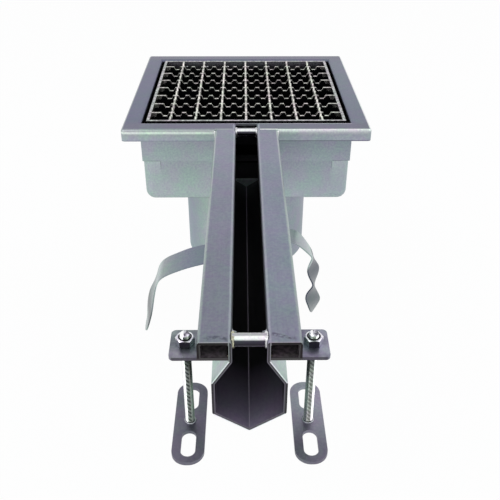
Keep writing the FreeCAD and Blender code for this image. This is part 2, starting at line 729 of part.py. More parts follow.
def make_nut(label, side, foot):
    """A hexagon nut; foot is the level of its lower face."""
    body = new_body(label)
    outline = add_sketch(body, "nut_outline", "XY_Plane", foot)
    reach = "sizes.nut_flats / sqrt(3)"
    corners = [(f"{reach} * cos({60 * turn})", f"{reach} * sin({60 * turn})")
               for turn in range(6)]
    polygon(outline, corners)
    circle(outline, "0", "0", "sizes.stud_diameter + 2 * sizes.thread_play")
    pad(body, outline, "nut_blank", "sizes.nut_height")
    set_on_stud(body, side)


def make_legs():
    bracket_top = "(places.floor_level - sizes.channel_skirt)"
    for name, side in (("left", -1), ("right", 1)):
        make_bracket(f"{name}_bracket", side)
        make_stud(f"{name}_stud", side)
        make_foot_plate(f"{name}_foot_plate", side)
        make_nut(f"{name}_upper_nut", side, bracket_top)
        make_nut(f"{name}_lower_nut", side, f"{bracket_top} - sizes.sheet_wall - sizes.nut_height")


def make_strap(label, side, stations, back):
    """A thin strip lofted through upright stations; the first one lies on the channel's wall."""
    middle = number(f"places.front_edge - {back}")
    top = number("places.floor_level")
    spots = [Vector(side * out, middle, top - down) for out, down, _ in stations]
    sections = []
    for index, (spot, station) in enumerate(zip(spots, stations)):
        before = spots[max(index - 1, 0)]
        after = spots[min(index + 1, len(spots) - 1)]
        along = Vector(side, 0, 0) if index == 0 else (after - before).normalize()
        width = Rotation(Vector(0, 0, 1), -side * station[2]).multVec(Vector(0, 1, 0))
        width = (width - along * width.dot(along)).normalize()
        sketch = doc.addObject("Sketcher::SketchObject", f"{label}_station_{index + 1}")
        sketch.Placement = Placement(spot, Rotation(width, along.cross(width), along, "XYZ"))
        half = "sizes.strap_width / 2"
        thin = "sizes.strap_sheet / 2"
        rectangle(sketch, f"0 - {half}", f"0 - {thin}", half, thin)
        sections.append(sketch)
    strap = doc.addObject("Part::Loft", label)
    strap.Label = label
    strap.Sections = sections
    strap.Solid = True
    strap.Ruled = True
    doc.recompute()
    parts.append(strap)


make_top_frame()
make_sump_bowl()
make_grate_seat()
make_trap_pot()
make_trap_bell()
make_grating()
make_slot_channel()
make_spacers()
make_legs()
make_strap("left_anchor_strap", -1, LEFT_STRAP, "sizes.left_strap_back")
make_strap("right_anchor_strap", 1, RIGHT_STRAP, "sizes.right_strap_back")
doc.recompute()

for item in doc.Objects:
    if "Invalid" in item.State or "Error" in item.State:
        raise RuntimeError(f"{item.Label} failed: {item.State}")
for item in parts:
    if item.Shape.isNull() or not item.Shape.isValid():
        raise RuntimeError(f"{item.Label} has no valid shape")
    if len(item.Shape.Solids) != 1:
        raise RuntimeError(f"{item.Label} has {len(item.Shape.Solids)} solids")

os.makedirs("parts", exist_ok=True)
for item in parts:
    item.Shape.exportStep(os.path.join("parts", item.Label + ".step"))
print(len(parts), "parts written")
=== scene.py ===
import json
import math

import bpy
from mathutils import Matrix, Vector


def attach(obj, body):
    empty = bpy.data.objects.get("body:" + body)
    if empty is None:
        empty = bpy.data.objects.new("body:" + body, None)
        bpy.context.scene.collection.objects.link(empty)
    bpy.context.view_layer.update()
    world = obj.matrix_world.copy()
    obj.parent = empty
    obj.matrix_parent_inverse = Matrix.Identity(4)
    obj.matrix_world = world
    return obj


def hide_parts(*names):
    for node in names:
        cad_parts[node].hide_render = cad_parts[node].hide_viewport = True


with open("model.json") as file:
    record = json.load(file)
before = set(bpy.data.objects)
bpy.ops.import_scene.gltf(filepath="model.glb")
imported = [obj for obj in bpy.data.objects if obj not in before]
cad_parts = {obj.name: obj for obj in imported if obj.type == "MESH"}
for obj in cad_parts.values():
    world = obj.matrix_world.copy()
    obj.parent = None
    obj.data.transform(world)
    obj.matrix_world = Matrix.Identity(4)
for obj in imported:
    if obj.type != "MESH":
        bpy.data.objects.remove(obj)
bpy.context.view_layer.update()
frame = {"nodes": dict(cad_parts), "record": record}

# Slot drain: square gully with a mesh grating, trap pot and outlet, and a slotted channel.
# Origin at the centre of the outlet's lower end, +Z up, the channel runs toward -Y, in metres.

FLOOR_LEVEL = 0.280        # top of the frame and of the channel
FRAME_HALF = 0.120
OPENING_HALF = 0.102       # inner face of the collar and of the bowl
COLLAR_HALF = 0.104        # their outer face
COLLAR_FOOT = 0.240
SKIRT_FOOT = 0.268         # lower end of the frame's turned-down edge
BOWL_FOOT = 0.195
BOWL_ROUND = 0.0095        # radius of the bowl's upright and lower edges
SEAM_TURN = 0.086          # where the seam over the bowl's rounded corners turns down
POT_RADIUS = 0.070
FRONT_EDGE = -0.120        # frame's front edge
FREE_END = -0.427          # the channel's open end
CHANNEL_HALF = 0.030
BODY_HALF = 0.0225         # outer face of the channel's side walls
SLOT_HALF = 0.010
SHEET = 0.002
NECK_FOOT = 0.2655         # where the channel's roofs begin
ROOF_FOOT = 0.2485
KEEL = 0.2085              # underside of the fold in the channel's bottom
WALL_FOOT = 0.2235
WATER_WAY_FOOT = 0.2198    # flat lower edge of the water way into the bowl
SPACER_RADIUS = 0.004
FRONT_SPACER_Y = -0.420
REAR_SPACER_Y = -0.117
STUD_X = 0.0375
STUD_Y = -0.4135
STUD_TOP = 0.276
FOOT_TOP = 0.204
BRACKET_TOP = 0.268
BRACKET_BACK = -0.4015
NUT_FLATS = 0.010
NUT_HEIGHT = 0.005
MESH_PITCH = 0.025
MESH_BAR_HALF = 0.00125
DIP_SHIFT = 0.0066         # from a crossing to the middle of the dip beside it
DIP_DEPTH = 0.00346
GRATE_HALF = 0.098
RIM_BAR = 0.003
MID_CHANNEL = -0.27        # where the flanges' colour changes on its way to the frame
BEAD_PITCH = 0.0013        # from one section of a weld bead to the next
BEAD_SWELL = 1.36          # a bead's wide sections against its narrow ones
WELD_ANGLE = 80            # degrees; softer edges of a weld are shaded smooth
SIDES = (("left", -1), ("right", 1))

# Anchor straps in millimetres: how far out and how far below the floor level the front corner
# lies, then the same for the rear corner, from the weld to the loose end.
STRAP_HALF_WIDTH = 0.0135
LEFT_STRAP_Y = -0.2795
RIGHT_STRAP_Y = -0.260
LEFT_STRAP = [
    (22.5, 34.5, 22.5, 34.5), (35.4, 37.6, 35.8, 37.8), (46.2, 40.7, 46.2, 40.4),
    (55.0, 44.3, 56.0, 45.2), (62.0, 47.4, 63.4, 48.4), (66.4, 50.2, 67.6, 51.8),
    (69.4, 53.4, 70.4, 55.2), (71.3, 58.0, 72.0, 59.6), (72.6, 63.5, 73.4, 65.2),
    (74.0, 70.3, 76.4, 72.6), (74.9, 75.5, 79.8, 78.6), (76.0, 81.5, 82.2, 86.5),
    (77.3, 87.0, 83.8, 96.0), (78.4, 91.0, 84.4, 103.0), (80.6, 98.5, 85.0, 109.5),
    (83.2, 104.8, 87.0, 116.0),
]
RIGHT_STRAP = [
    (22.5, 34.5, 22.5, 34.5), (29.9, 29.6, 35.7, 34.5), (35.8, 31.0, 41.9, 36.9),
    (41.0, 34.2, 47.2, 44.6), (45.8, 38.7, 51.5, 51.0), (49.3, 42.5, 54.3, 56.9),
    (51.6, 45.0, 55.2, 62.6), (50.1, 48.9, 57.8, 66.5), (48.5, 53.7, 60.2, 70.1),
    (48.0, 58.1, 60.8, 73.7), (49.4, 63.0, 60.0, 78.9), (51.8, 67.8, 58.3, 84.9),
    (53.9, 72.5, 57.1, 91.2), (50.8, 76.5, 60.0, 96.7), (48.1, 81.1, 62.7, 102.1),
    (47.8, 86.3, 63.7, 106.3), (49.9, 91.4, 61.1, 111.9), (52.8, 99.8, 56.8, 121.0),
]


# Modelling helpers

def deselect():
    bpy.ops.object.select_all(action="DESELECT")


def pick_vertices(piece, test):
    """Selects the vertices whose place passes the test, in edit mode."""
    bpy.ops.object.mode_set(mode="EDIT")
    bpy.ops.mesh.select_mode(type="VERT")
    bpy.ops.mesh.select_all(action="DESELECT")
    bpy.ops.object.mode_set(mode="OBJECT")
    for vertex in piece.data.vertices:
        vertex.select = test(vertex.co)
    bpy.ops.object.mode_set(mode="EDIT")


def pick_edges(piece, test):
    """Selects the edges whose two ends pass the test, in edit mode."""
    bpy.ops.object.mode_set(mode="EDIT")
    bpy.ops.mesh.select_mode(type="EDGE")
    bpy.ops.mesh.select_all(action="DESELECT")
    bpy.ops.object.mode_set(mode="OBJECT")
    spots = [vertex.co for vertex in piece.data.vertices]
    for edge in piece.data.edges:
        edge.select = test(*(spots[index] for index in edge.vertices))
    bpy.ops.object.mode_set(mode="EDIT")


def settle(piece, body, material, angle=40):
    """Puts the place into the mesh, smooths it and hands the piece over to its body."""
    if piece.mode == "EDIT":
        bpy.ops.object.mode_set(mode="OBJECT")
    deselect()
    piece.select_set(True)
    bpy.context.view_layer.objects.active = piece
    bpy.ops.object.transform_apply(location=True, rotation=True, scale=True)
    bpy.ops.object.shade_smooth_by_angle(angle=math.radians(angle))
    piece.data.materials.clear()
    piece.data.materials.append(material)
    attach(piece, body)
    return piece


def apply_modifier(piece, name, kind, **settings):
    """Adds a modifier to the active piece and applies it."""
    modifier = piece.modifiers.new(name, kind)
    for key, value in settings.items():
        setattr(modifier, key, value)
    bpy.ops.object.modifier_apply(modifier=modifier.name)


def carve(piece, tool, operation):
    """Cuts a piece with another one, or keeps what both share, and removes the tool."""
    bpy.context.view_layer.objects.active = piece
    apply_modifier(piece, "carve", "BOOLEAN", object=tool, operation=operation, solver="EXACT")
    bpy.data.objects.remove(tool)


def turned_to(direction):
    """Rotation that brings the Z axis onto a direction."""
    return Vector(direction).to_track_quat("Z", "Y").to_euler()


def copied(piece, name, step):
    """A copy with its own mesh, one step away."""
    deselect()
    piece.select_set(True)
    bpy.context.view_layer.objects.active = piece
    bpy.ops.object.duplicate(linked=False)
    twin = bpy.context.active_object
    twin.name = name
    bpy.ops.transform.translate(value=step)
    return twin


def rippled_bead(name, start, end, radius, material):
    """A weld bead along a straight line: a disc extruded step by step, wide and narrow by turns."""
    start, end = Vector(start), Vector(end)
    steps = 2 * max(2, round((end - start).length / BEAD_PITCH / 2)) + 1
    deselect()
    bpy.ops.mesh.primitive_circle_add(vertices=10, radius=radius * 0.72, fill_type="NGON",
                                      location=start, rotation=turned_to(end - start))
    bead = bpy.context.active_object
    bead.name = name
    bpy.ops.object.mode_set(mode="EDIT")
    bpy.ops.mesh.select_all(action="SELECT")
    stride = (end - start) / steps
    for step in range(steps):
        bpy.ops.mesh.extrude_region_move(
            TRANSFORM_OT_translate={"value": stride, "orient_type": "GLOBAL"})
        size = BEAD_SWELL if step % 2 == 0 else 1 / BEAD_SWELL
        bpy.ops.transform.resize(value=(size, size, size))
    bpy.ops.mesh.select_all(action="SELECT")
    bpy.ops.mesh.normals_make_consistent(inside=False)
    settle(bead, "drain", material, WELD_ANGLE)


def weld_ring(name, centre, axis_turn, ring_radius, radius, material, body, segments=28):
    """A weld bead round a bar or tube, rippled by thinning every second section."""
    deselect()
    bpy.ops.mesh.primitive_torus_add(major_radius=ring_radius, minor_radius=radius,
                                     major_segments=segments, minor_segments=8,
                                     location=(0, 0, 0))
    ring = bpy.context.active_object
    ring.name = name
    pick_vertices(ring, lambda spot: round(
        (math.atan2(spot.y, spot.x) + math.pi) / (2 * math.pi) * segments) % 2 == 1)
    bpy.ops.transform.shrink_fatten(value=-0.28 * radius)
    bpy.ops.object.mode_set(mode="OBJECT")
    ring.location = centre
    ring.rotation_euler = axis_turn
    return settle(ring, body, material, WELD_ANGLE)


# Material helpers

class Wire:
    """A socket in a material; arithmetic on it adds Math nodes."""

    def __init__(self, paint, socket):
        self.paint = paint
        self.socket = socket

    def __add__(self, other):
        return self.paint.maths("ADD", self, other)

    def __sub__(self, other):
        return self.paint.maths("SUBTRACT", self, other)

    def __rsub__(self, other):
        return self.paint.maths("SUBTRACT", other, self)

    def __mul__(self, other):
        return self.paint.maths("MULTIPLY", self, other)

    def __abs__(self):
        return self.paint.maths("ABSOLUTE", self)

    __radd__ = __add__
    __rmul__ = __mul__


class Paint:
    """A material that is built node by node."""

    def __init__(self, name):
        self.material = bpy.data.materials.new(name)
        self.material.use_nodes = True
        self.tree = self.material.node_tree
        self.tree.nodes.clear()

    def node(self, kind, settings=None, inputs=None, output=0):
        """Adds a node, gives it its settings, then its sockets' values or links."""
        made = self.tree.nodes.new(kind)
        for key, value in (settings or {}).items():
            setattr(made, key, value)
        for key, value in (inputs or {}).items():
            if isinstance(value, Wire):
                self.tree.links.new(value.socket, made.inputs[key])
            else:
                made.inputs[key].default_value = value
        return Wire(self, made.outputs[output]) if made.outputs else None

    def maths(self, operation, first, second=0.0, third=0.0):
        """One Math node."""
        return self.node("ShaderNodeMath", {"operation": operation},
                         {0: first, 1: second, 2: third})

    def between(self, value, low, high):
        """0 at low, 1 at high, straight in between; low may be the larger one."""
        return self.node("ShaderNodeMapRange", {},
                         {"Value": value, "From Min": low, "From Max": high,
                          "To Min": 0.0, "To Max": 1.0})

    def near(self, value, middle, reach):
        """1 within reach of a value, 0 elsewhere."""
        return self.maths("COMPARE", value, middle, reach)

    def larger(self, first, second):
        """The larger of two values."""
        return self.maths("MAXIMUM", first, second)

    def smaller(self, first, second):
        """The smaller of two values."""
        return self.maths("MINIMUM", first, second)

    def blend(self, factor, first, second, how="MIX"):
        """A mix of two colours."""
        return self.node("ShaderNodeMix", {"data_type": "RGBA", "blend_type": how},
                         {0: factor, 6: first, 7: second}, output=2)

    def shade(self, colour, amount):
        """A colour made lighter or darker by a socket's value."""
        return self.blend(1.0, colour, amount, "MULTIPLY")

    def graded(self, value, stops):
        """A colour that passes through the stops (value, colour) one after the other."""
        before, base = stops[0][0], tone(stops[0][1])
        for at, colour in stops[1:]:
            base = self.blend(self.between(value, before, at), base, tone(colour))
            before = at
        return base

    def by_side(self, x, left, right):
        """One colour left of the object's middle and another right of it."""
        return self.blend(self.between(x, -0.004, 0.004), left, right)

    def place(self):
        """The surface's place in the object's own coordinates."""
        return self.node("ShaderNodeTexCoord", output=3)

    def axes(self):
        """The three coordinates of the surface's place, in metres."""
        return [self.node("ShaderNodeSeparateXYZ", {}, {0: self.place()}, output=index)
                for index in range(3)]

    def noise(self, scale, detail=2.0, stretch=(1, 1, 1)):
        """Cloudy values round 0.5; a small stretch draws them out along its axis."""
        where = self.node("ShaderNodeMapping", {}, {"Vector": self.place(), "Scale": stretch})
        return self.node("ShaderNodeTexNoise", {},
                         {"Vector": where, "Scale": scale, "Detail": detail})

    def finish(self, **inputs):
        """The surface shader and the material's output."""
        names = {key.replace("_", " ").title(): value for key, value in inputs.items()}
        shader = self.node("ShaderNodeBsdfPrincipled", {}, names)
        self.node("ShaderNodeOutputMaterial", {}, {"Surface": shader})
        return self.material

    def brushed(self, base, roughness=0.38, metallic=0.9, grain=(1, 1, 1), depth=0.06):
        """Finishes sheet steel: cloudy green and violet tints, a fine grain and its bump."""
        clouds = self.noise(14.0, 3.0)
        tints = self.between(self.noise(70.0, 4.0), 0.35, 0.65)
        specks = self.between(self.noise(520.0, 2.0), 0.30, 0.70)
        lines = self.noise(900.0, 2.0, grain)
        base = self.shade(base, self.blend(tints, (1.04, 0.95, 1.05, 1), (0.94, 1.04, 0.98, 1)))
        base = self.shade(base, self.blend(specks, (0.93, 0.88, 0.96, 1), (1.08, 1.12, 1.04, 1)))
        base = self.shade(base, clouds * 0.24 + lines * 0.20 + 0.78)
        bump = self.node("ShaderNodeBump", {}, {"Strength": depth, "Distance": 0.0003,
                                                "Height": lines})
        return self.finish(base_color=base, metallic=metallic,
                           roughness=lines * 0.12 + clouds * 0.04 + (roughness - 0.08),
                           normal=bump)


def tone(colour, factor=1.0):
    """A full opaque colour, made lighter or darker by the factor."""
    return tuple(channel * factor for channel in colour) + (1.0,)


# Finishes

# painted shade: near-black colour for inner faces, standing in for the shade inside the box, pot
# and channel
INNER_SHADE = (0.010, 0.010, 0.013)
# painted shade for the hollows under the flanges and what lies in them
HOLLOW_SHADE = (0.085, 0.073, 0.078)


def hollow_shade(paint):
    """Painted shade, dark and blotchy, in the hollows under the flanges."""
    return paint.blend(paint.between(paint.noise(380.0, 3.0), 0.38, 0.62), tone(HOLLOW_SHADE, 0.55),
                       tone(HOLLOW_SHADE, 1.6))


def inside_box(paint, x, y, z):
    """1 on the inner faces of the collar and the bowl, which take painted shade, 0 on their outer
    faces and the border.
    """
    out = paint.larger(abs(x), abs(y))
    within = paint.between(out, COLLAR_HALF - 0.0008, OPENING_HALF + 0.0006)
    below = paint.between(z, FLOOR_LEVEL - 0.0012, FLOOR_LEVEL - 0.0032)
    above = paint.between(z, BOWL_FOOT + 0.0008, BOWL_FOOT + 0.0014)
    return within * below * above


def box_painted_light_and_seam(paint, x, z):
    """Outer walls of collar and bowl in painted light: grey-blue and darker above, greener and
    lighter toward the foot, darker at the right, with a painted highlight on the rounded corners
    below the collar and a dark seam where collar and bowl meet.
    """
    # painted light and shade: darker above, lighter toward the foot, darker at the right
    height = paint.between(z, FLOOR_LEVEL - 0.012, BOWL_FOOT + 0.010)
    left = paint.blend(height, tone((0.318, 0.355, 0.392)), tone((0.424, 0.509, 0.498)))
    right = paint.blend(height, tone((0.244, 0.27, 0.318)), tone((0.392, 0.456, 0.477)))
    walls = paint.blend(paint.between(x, -0.030, 0.034), left, right)
    # painted highlight on the bowl's rounded corners, just below the collar
    corner = paint.between(abs(x), SEAM_TURN - 0.001, SEAM_TURN + 0.001)
    below = paint.between(z, COLLAR_FOOT + 0.0003, COLLAR_FOOT - 0.0003)
    corner_highlight = corner * below * paint.between(z, COLLAR_FOOT - 0.028, COLLAR_FOOT)
    walls = paint.blend(corner_highlight * 0.6, walls, tone((0.466, 0.583, 0.541)))
    seam = paint.near(z, COLLAR_FOOT, 0.0004) * corner
    seam = paint.larger(seam, paint.near(abs(x), SEAM_TURN, 0.0004) * below
                        * paint.between(z, COLLAR_FOOT - 0.012, COLLAR_FOOT - 0.004))
    return paint.blend(seam * 0.5, walls, tone((0.127, 0.159, 0.159)))


def skirt_painted_light(paint, x, z):
    """Turned-down edge in painted light: a painted highlight along its bend, lower at the left, and
    painted shade at its foot.
    """
    down = FLOOR_LEVEL - z
    left = paint.graded(down, [
        (0.0006, (0.30, 0.34, 0.345)), (0.0022, (0.43, 0.49, 0.46)), (0.0030, (0.78, 0.90, 0.80)),
        (0.0040, (0.66, 0.77, 0.70)), (0.0052, (0.36, 0.42, 0.41)),
        (0.0108, (0.37, 0.425, 0.46)), (0.0116, (0.25, 0.29, 0.32))])
    right = paint.graded(down, [
        (0.0004, (0.80, 0.83, 0.81)), (0.0010, (0.66, 0.69, 0.69)), (0.0028, (0.46, 0.50, 0.51)),
        (0.0044, (0.37, 0.41, 0.43)), (0.0056, (0.325, 0.365, 0.395)),
        (0.0106, (0.35, 0.385, 0.435)), (0.0114, (0.17, 0.18, 0.22))])
    return paint.by_side(x, left, right)


def frame_steel():
    """Frame: violet-grey border in painted light and shade, painted highlights along its folded and
    inner edges, painted shade at the skirt's foot and inside.
    """
    paint = Paint("frame steel")
    x, y, z = paint.axes()
    # the border's sides, its back and its front, each in its own painted light and shade, and a
    # painted highlight along its front edge
    border = paint.blend(paint.between(x, -0.108, 0.108),
                         tone((0.125, 0.135, 0.205)), tone((0.150, 0.170, 0.228)))
    border = paint.blend(paint.between(y, 0.098, 0.108), border, tone((0.150, 0.150, 0.205)))
    border = paint.blend(paint.between(y, -0.098, -0.108), border, tone((0.145, 0.150, 0.205)))
    front_line = paint.between(y, FRONT_EDGE + 0.0035, FRONT_EDGE + 0.0020)
    border = paint.blend(front_line, border, tone((0.24, 0.275, 0.29)))
    # painted highlight along the inner edge of the border's front, brighter at the right
    inner_edge = paint.near(y, -OPENING_HALF - 0.0021, 0.0012)
    inner_edge = inner_edge * paint.between(abs(x), OPENING_HALF + 0.001, OPENING_HALF)
    glint = paint.blend(paint.between(x, -0.06, 0.06), tone((0.30, 0.31, 0.36)),
                        tone((0.52, 0.53, 0.57)))
    border = paint.blend(inner_edge, border, glint)
    outer = paint.between(paint.larger(abs(x), abs(y)), FRAME_HALF - 0.0022, FRAME_HALF - 0.0016)
    base = paint.blend(outer, border, skirt_painted_light(paint, x, z))
    collar = paint.between(z, SKIRT_FOOT + 0.0005, SKIRT_FOOT - 0.0005)
    base = paint.blend(collar, base, box_painted_light_and_seam(paint, x, z))
    # painted shade on the inner faces of the collar and the bowl
    base = paint.blend(inside_box(paint, x, y, z), base, tone(INNER_SHADE))
    return paint.brushed(base, roughness=0.36, grain=(1, 0.05, 1))


def bowl_steel():
    """Bowl: walls in painted light, painted shade along its lower edge outside and on its inner
    faces.
    """
    paint = Paint("bowl steel")
    x, y, z = paint.axes()
    flat = COLLAR_HALF - BOWL_ROUND
    past_x = paint.larger(abs(x) - flat, 0.0)
    past_y = paint.larger(abs(y) - flat, 0.0)
    past_z = paint.larger((BOWL_FOOT + BOWL_ROUND) - z, 0.0)
    depth = BOWL_ROUND - paint.maths("SQRT", past_x * past_x + past_y * past_y + past_z * past_z)
    # painted shade along the lower edge
    foot = paint.between(z, BOWL_FOOT + 0.0030, BOWL_FOOT + 0.0012)
    base = paint.blend(foot * 0.7, box_painted_light_and_seam(paint, x, z), tone((0.16, 0.19, 0.19)))
    # painted shade on the inner faces
    base = paint.blend(paint.between(depth, 0.0007, 0.0012), base, tone(INNER_SHADE))
    return paint.brushed(base, roughness=0.5, metallic=0.8)


def pot_steel():
    """Pot wall and floor in painted light: bluish and darker at the left, greener and lighter
    toward the channel, darker again at the right, with painted shade inside.
    """
    paint = Paint("pot steel")
    x, y, _ = paint.axes()
    base = paint.blend(paint.between(x, -0.066, -0.040), tone((0.28, 0.345, 0.385)),
                       tone((0.41, 0.48, 0.455)))
    base = paint.blend(paint.between(x, 0.030, 0.050), base, tone((0.30, 0.34, 0.38)))
    # painted shade on the inner face
    radius = paint.maths("SQRT", x * x + y * y)
    inner = paint.between(radius, POT_RADIUS - 0.0006, POT_RADIUS - 0.0014)
    base = paint.blend(inner, base, tone(INNER_SHADE, 0.5))
    return paint.brushed(base, roughness=0.5, metallic=0.8)


def inner_margin(paint, x, z):
    """Distance from the middle of the channel's sheet, above 0 toward its inner side."""
    out = abs(x)
    middle = SHEET / 2
    roof_slope = (BODY_HALF - SLOT_HALF - SHEET) / (NECK_FOOT - ROOF_FOOT)
    vee_slope = (WALL_FOOT - KEEL) / BODY_HALF
    neck = paint.smaller(SLOT_HALF + middle - out, z - ROOF_FOOT)
    wall = BODY_HALF - middle - out
    roof = (NECK_FOOT - z) * roof_slope - out + (SLOT_HALF + middle * 0.85)
    vee = z - out * vee_slope - (KEEL + middle * 1.2)
    body = paint.smaller(paint.smaller(wall, roof), vee)
    return paint.larger(neck, body)


def cut_edge(paint, x, z, margin):
    """The channel's sawn end: sheet edges in painted shade, thin painted highlights along them,
    deeper painted shade beside the hollows under the flanges, and a painted highlight along the top
    edge.
    """
    # painted shade on the sheet edges
    edge = paint.blend(paint.between(margin, 0.0005, 0.0007), tone((0.03, 0.028, 0.034)),
                       tone((0.13, 0.12, 0.15)))
    walls = paint.near(z, (ROOF_FOOT + WALL_FOOT) / 2, (ROOF_FOOT - WALL_FOOT) / 2)
    neck = paint.between(z, NECK_FOOT - 0.0004, NECK_FOOT) * 0.75
    # thin painted highlights along the sheet edges
    highlight_line = paint.near(margin, -0.00085, 0.0004) * (1.0 - paint.larger(walls, neck))
    edge = paint.blend(highlight_line, edge, tone((0.80, 0.86, 0.86)))
    # deeper painted shade beside the hollows under the flanges
    flange = paint.between(abs(x), SLOT_HALF + SHEET + 0.0002, SLOT_HALF + SHEET + 0.0006)
    upper = paint.between(z, BRACKET_TOP - 0.002, BRACKET_TOP - 0.001)
    edge = paint.blend(flange * upper, edge, tone(HOLLOW_SHADE, 0.25))
    # painted highlight along the top edge
    return paint.blend(paint.between(z, FLOOR_LEVEL - 0.0005, FLOOR_LEVEL - 0.0003), edge,
                       tone((0.34, 0.33, 0.37)))


def flange_light_and_heat_mark(paint, x, y):
    """Upper faces: grey-violet in painted light and shade, darker toward the free end and different
    at the left and right, painted highlights along both edges, and a heat mark at the free end.
    """
    along = paint.between(y, FREE_END, FRONT_EDGE)
    # painted light and shade along each flange, darker toward the free end
    left = paint.graded(y, [
        (FREE_END, (0.189, 0.197, 0.244)), (MID_CHANNEL, (0.21, 0.218, 0.277)),
        (FRONT_EDGE, (0.244, 0.265, 0.323))])
    right = paint.graded(y, [
        (FREE_END, (0.214, 0.239, 0.286)), (MID_CHANNEL, (0.223, 0.248, 0.311)),
        (FRONT_EDGE, (0.227, 0.239, 0.307))])
    base = paint.by_side(x, left, right)
    # painted highlights along the slot's edge and the outer edge
    slot_edge = paint.between(abs(x), SLOT_HALF + 0.0026, SLOT_HALF + 0.0016)
    base = paint.blend(slot_edge * 0.8, base, tone((0.353, 0.378, 0.42)))
    outer_edge = paint.between(abs(x), CHANNEL_HALF - 0.0023, CHANNEL_HALF - 0.0012)
    glint = paint.blend(along, tone((0.277, 0.336, 0.328)), tone((0.504, 0.571, 0.538)))
    base = paint.blend(outer_edge * 0.85, base, glint)
    return heat_mark(paint, base, x, y)


def heat_mark(paint, base, x, y):
    """Ragged stain across each flange at the spacer's weld: arched at the left, straight right."""
    wander = y - FREE_END + paint.noise(160.0, 2.0) * 0.003
    arch_middle = 0.019
    off_middle = abs(x) - arch_middle
    left_curve = 0.0062 - off_middle * off_middle * 50.0
    right_curve = 0.0066 - off_middle * 0.30
    right_side = paint.between(x, -0.001, 0.001)
    curve = left_curve + (right_curve - left_curve) * right_side
    mark = paint.between(abs(wander - curve), 0.0020, 0.0006)
    mark = mark * paint.between(paint.noise(430.0, 2.0), 0.34, 0.56)
    reach = paint.between(abs(x), CHANNEL_HALF - 0.0028, CHANNEL_HALF - 0.0060)
    reach = reach * paint.between(abs(x), SLOT_HALF + 0.0018, SLOT_HALF + 0.0035)
    return paint.blend(mark * reach * 0.85, base, tone((0.07, 0.07, 0.10)))


def channel_steel():
    """Folded channel: grey-violet flanges, roofs paler in painted light, painted shade inside with
    painted light near the open end and along the fold, painted shade in the hollows under the
    flanges, and a sawn end.
    """
    paint = Paint("channel steel")
    x, y, z = paint.axes()
    margin = inner_margin(paint, x, z)
    # painted light: the faces below the flanges paler than the flanges
    lower = paint.between(z, FLOOR_LEVEL - 0.0095, FLOOR_LEVEL - 0.0125)
    base = paint.blend(lower, flange_light_and_heat_mark(paint, x, y), tone((0.46, 0.55, 0.53)))
    # painted shade inside, lighter near the open end and along the fold in painted light
    inner = paint.between(margin, -0.0002, 0.0002)
    inner = inner * paint.between(z, FLOOR_LEVEL - 0.0008, FLOOR_LEVEL - 0.0034)
    light = paint.between(y, FREE_END + 0.055, FREE_END)
    light = light * paint.between(z, KEEL + 0.0295, KEEL + 0.0035)
    depth = paint.blend(light, tone(INNER_SHADE, 0.5), tone((0.18, 0.16, 0.22)))
    fold = paint.near(x, 0.0, 0.0003) * paint.between(z, KEEL + 0.0045, KEEL + 0.0035)
    depth = paint.blend(fold, depth, tone((0.24, 0.21, 0.27)))
    base = paint.blend(inner, base, depth)
    # painted shade in the hollow under each flange: the middle and half of its height, then of its
    # width
    hollow = paint.near(z, FLOOR_LEVEL - SHEET - 0.005, 0.0051)
    hollow = hollow * paint.near(abs(x), 0.02025, 0.00845)
    base = paint.blend(hollow, base, hollow_shade(paint))
    cut = paint.between(y, FREE_END + 0.0004, FREE_END + 0.0002)
    base = paint.blend(cut, base, cut_edge(paint, x, z, margin))
    # the painted shade inside and in the hollows is given no metal sheen
    matt = paint.larger(inner, hollow)
    return paint.brushed(base, roughness=0.36, metallic=0.9 - matt * 0.9, grain=(1, 0.03, 1))


def grate_steel(name, colour, dark, roughness, rim):
    """Grating bars: thin bright upper lines broken by the serration, painted highlights along the
    sides' upper edges, painted shade on the sides and deeper down; the rim's faces in painted
    shade, its inner back face and left face in painted light.
    """
    paint = Paint(name)
    x, y, z = paint.axes()
    out = paint.larger(abs(x), abs(y))
    if rim:
        # painted shade on the rim's outer and inner faces
        shaded = paint.larger(paint.near(out, GRATE_HALF, 0.0001),
                              paint.near(out, GRATE_HALF - RIM_BAR, 0.0001))
    else:
        off = [paint.maths("PINGPONG", abs(place), MESH_PITCH / 2) for place in (x, y)]
        across = paint.smaller(*off)
        down = FLOOR_LEVEL - z
        beside = abs(paint.larger(*off) - DIP_SHIFT)
        past_dip = paint.larger(down, beside * math.sin(math.pi / 3) + down * 0.5) - DIP_DEPTH
        # painted highlights along the upper edges of the sides, where the top and the dips meet
        # them
        edge = paint.larger(paint.between(past_dip, 0.0007, 0.0005),
                            paint.between(down, 0.0006, 0.0004))
        edge = edge * paint.near(across, MESH_BAR_HALF, 0.00008)
        # painted shade on the bars' sides
        shaded = paint.between(across, 0.0007, 0.0009) * (1.0 - edge * 0.7)
    beads = paint.noise(360.0, 1.0)
    base = paint.blend(paint.between(beads, 0.38, 0.62), tone(colour, 0.50), tone(colour, 1.3))
    # painted shade deeper down
    deep = paint.between(z, FLOOR_LEVEL - 0.0050, FLOOR_LEVEL - 0.0060)
    base = paint.blend(paint.larger(shaded, deep), base, tone(dark))
    if rim:
        # painted light on the rim's inner back face and, weaker, on its left face
        lit = paint.between(z, FLOOR_LEVEL - 0.0100, FLOOR_LEVEL - 0.0030)
        back = paint.near(y, GRATE_HALF - RIM_BAR, 0.0002)
        base = paint.blend(back * lit, base, tone((0.30, 0.29, 0.33)))
        left = paint.near(x, RIM_BAR - GRATE_HALF, 0.0002) * paint.between(beads, 0.35, 0.65)
        base = paint.blend(left * lit, base, tone((0.16, 0.17, 0.12)))
    return paint.brushed(base, roughness=roughness, metallic=0.9, depth=0.12)


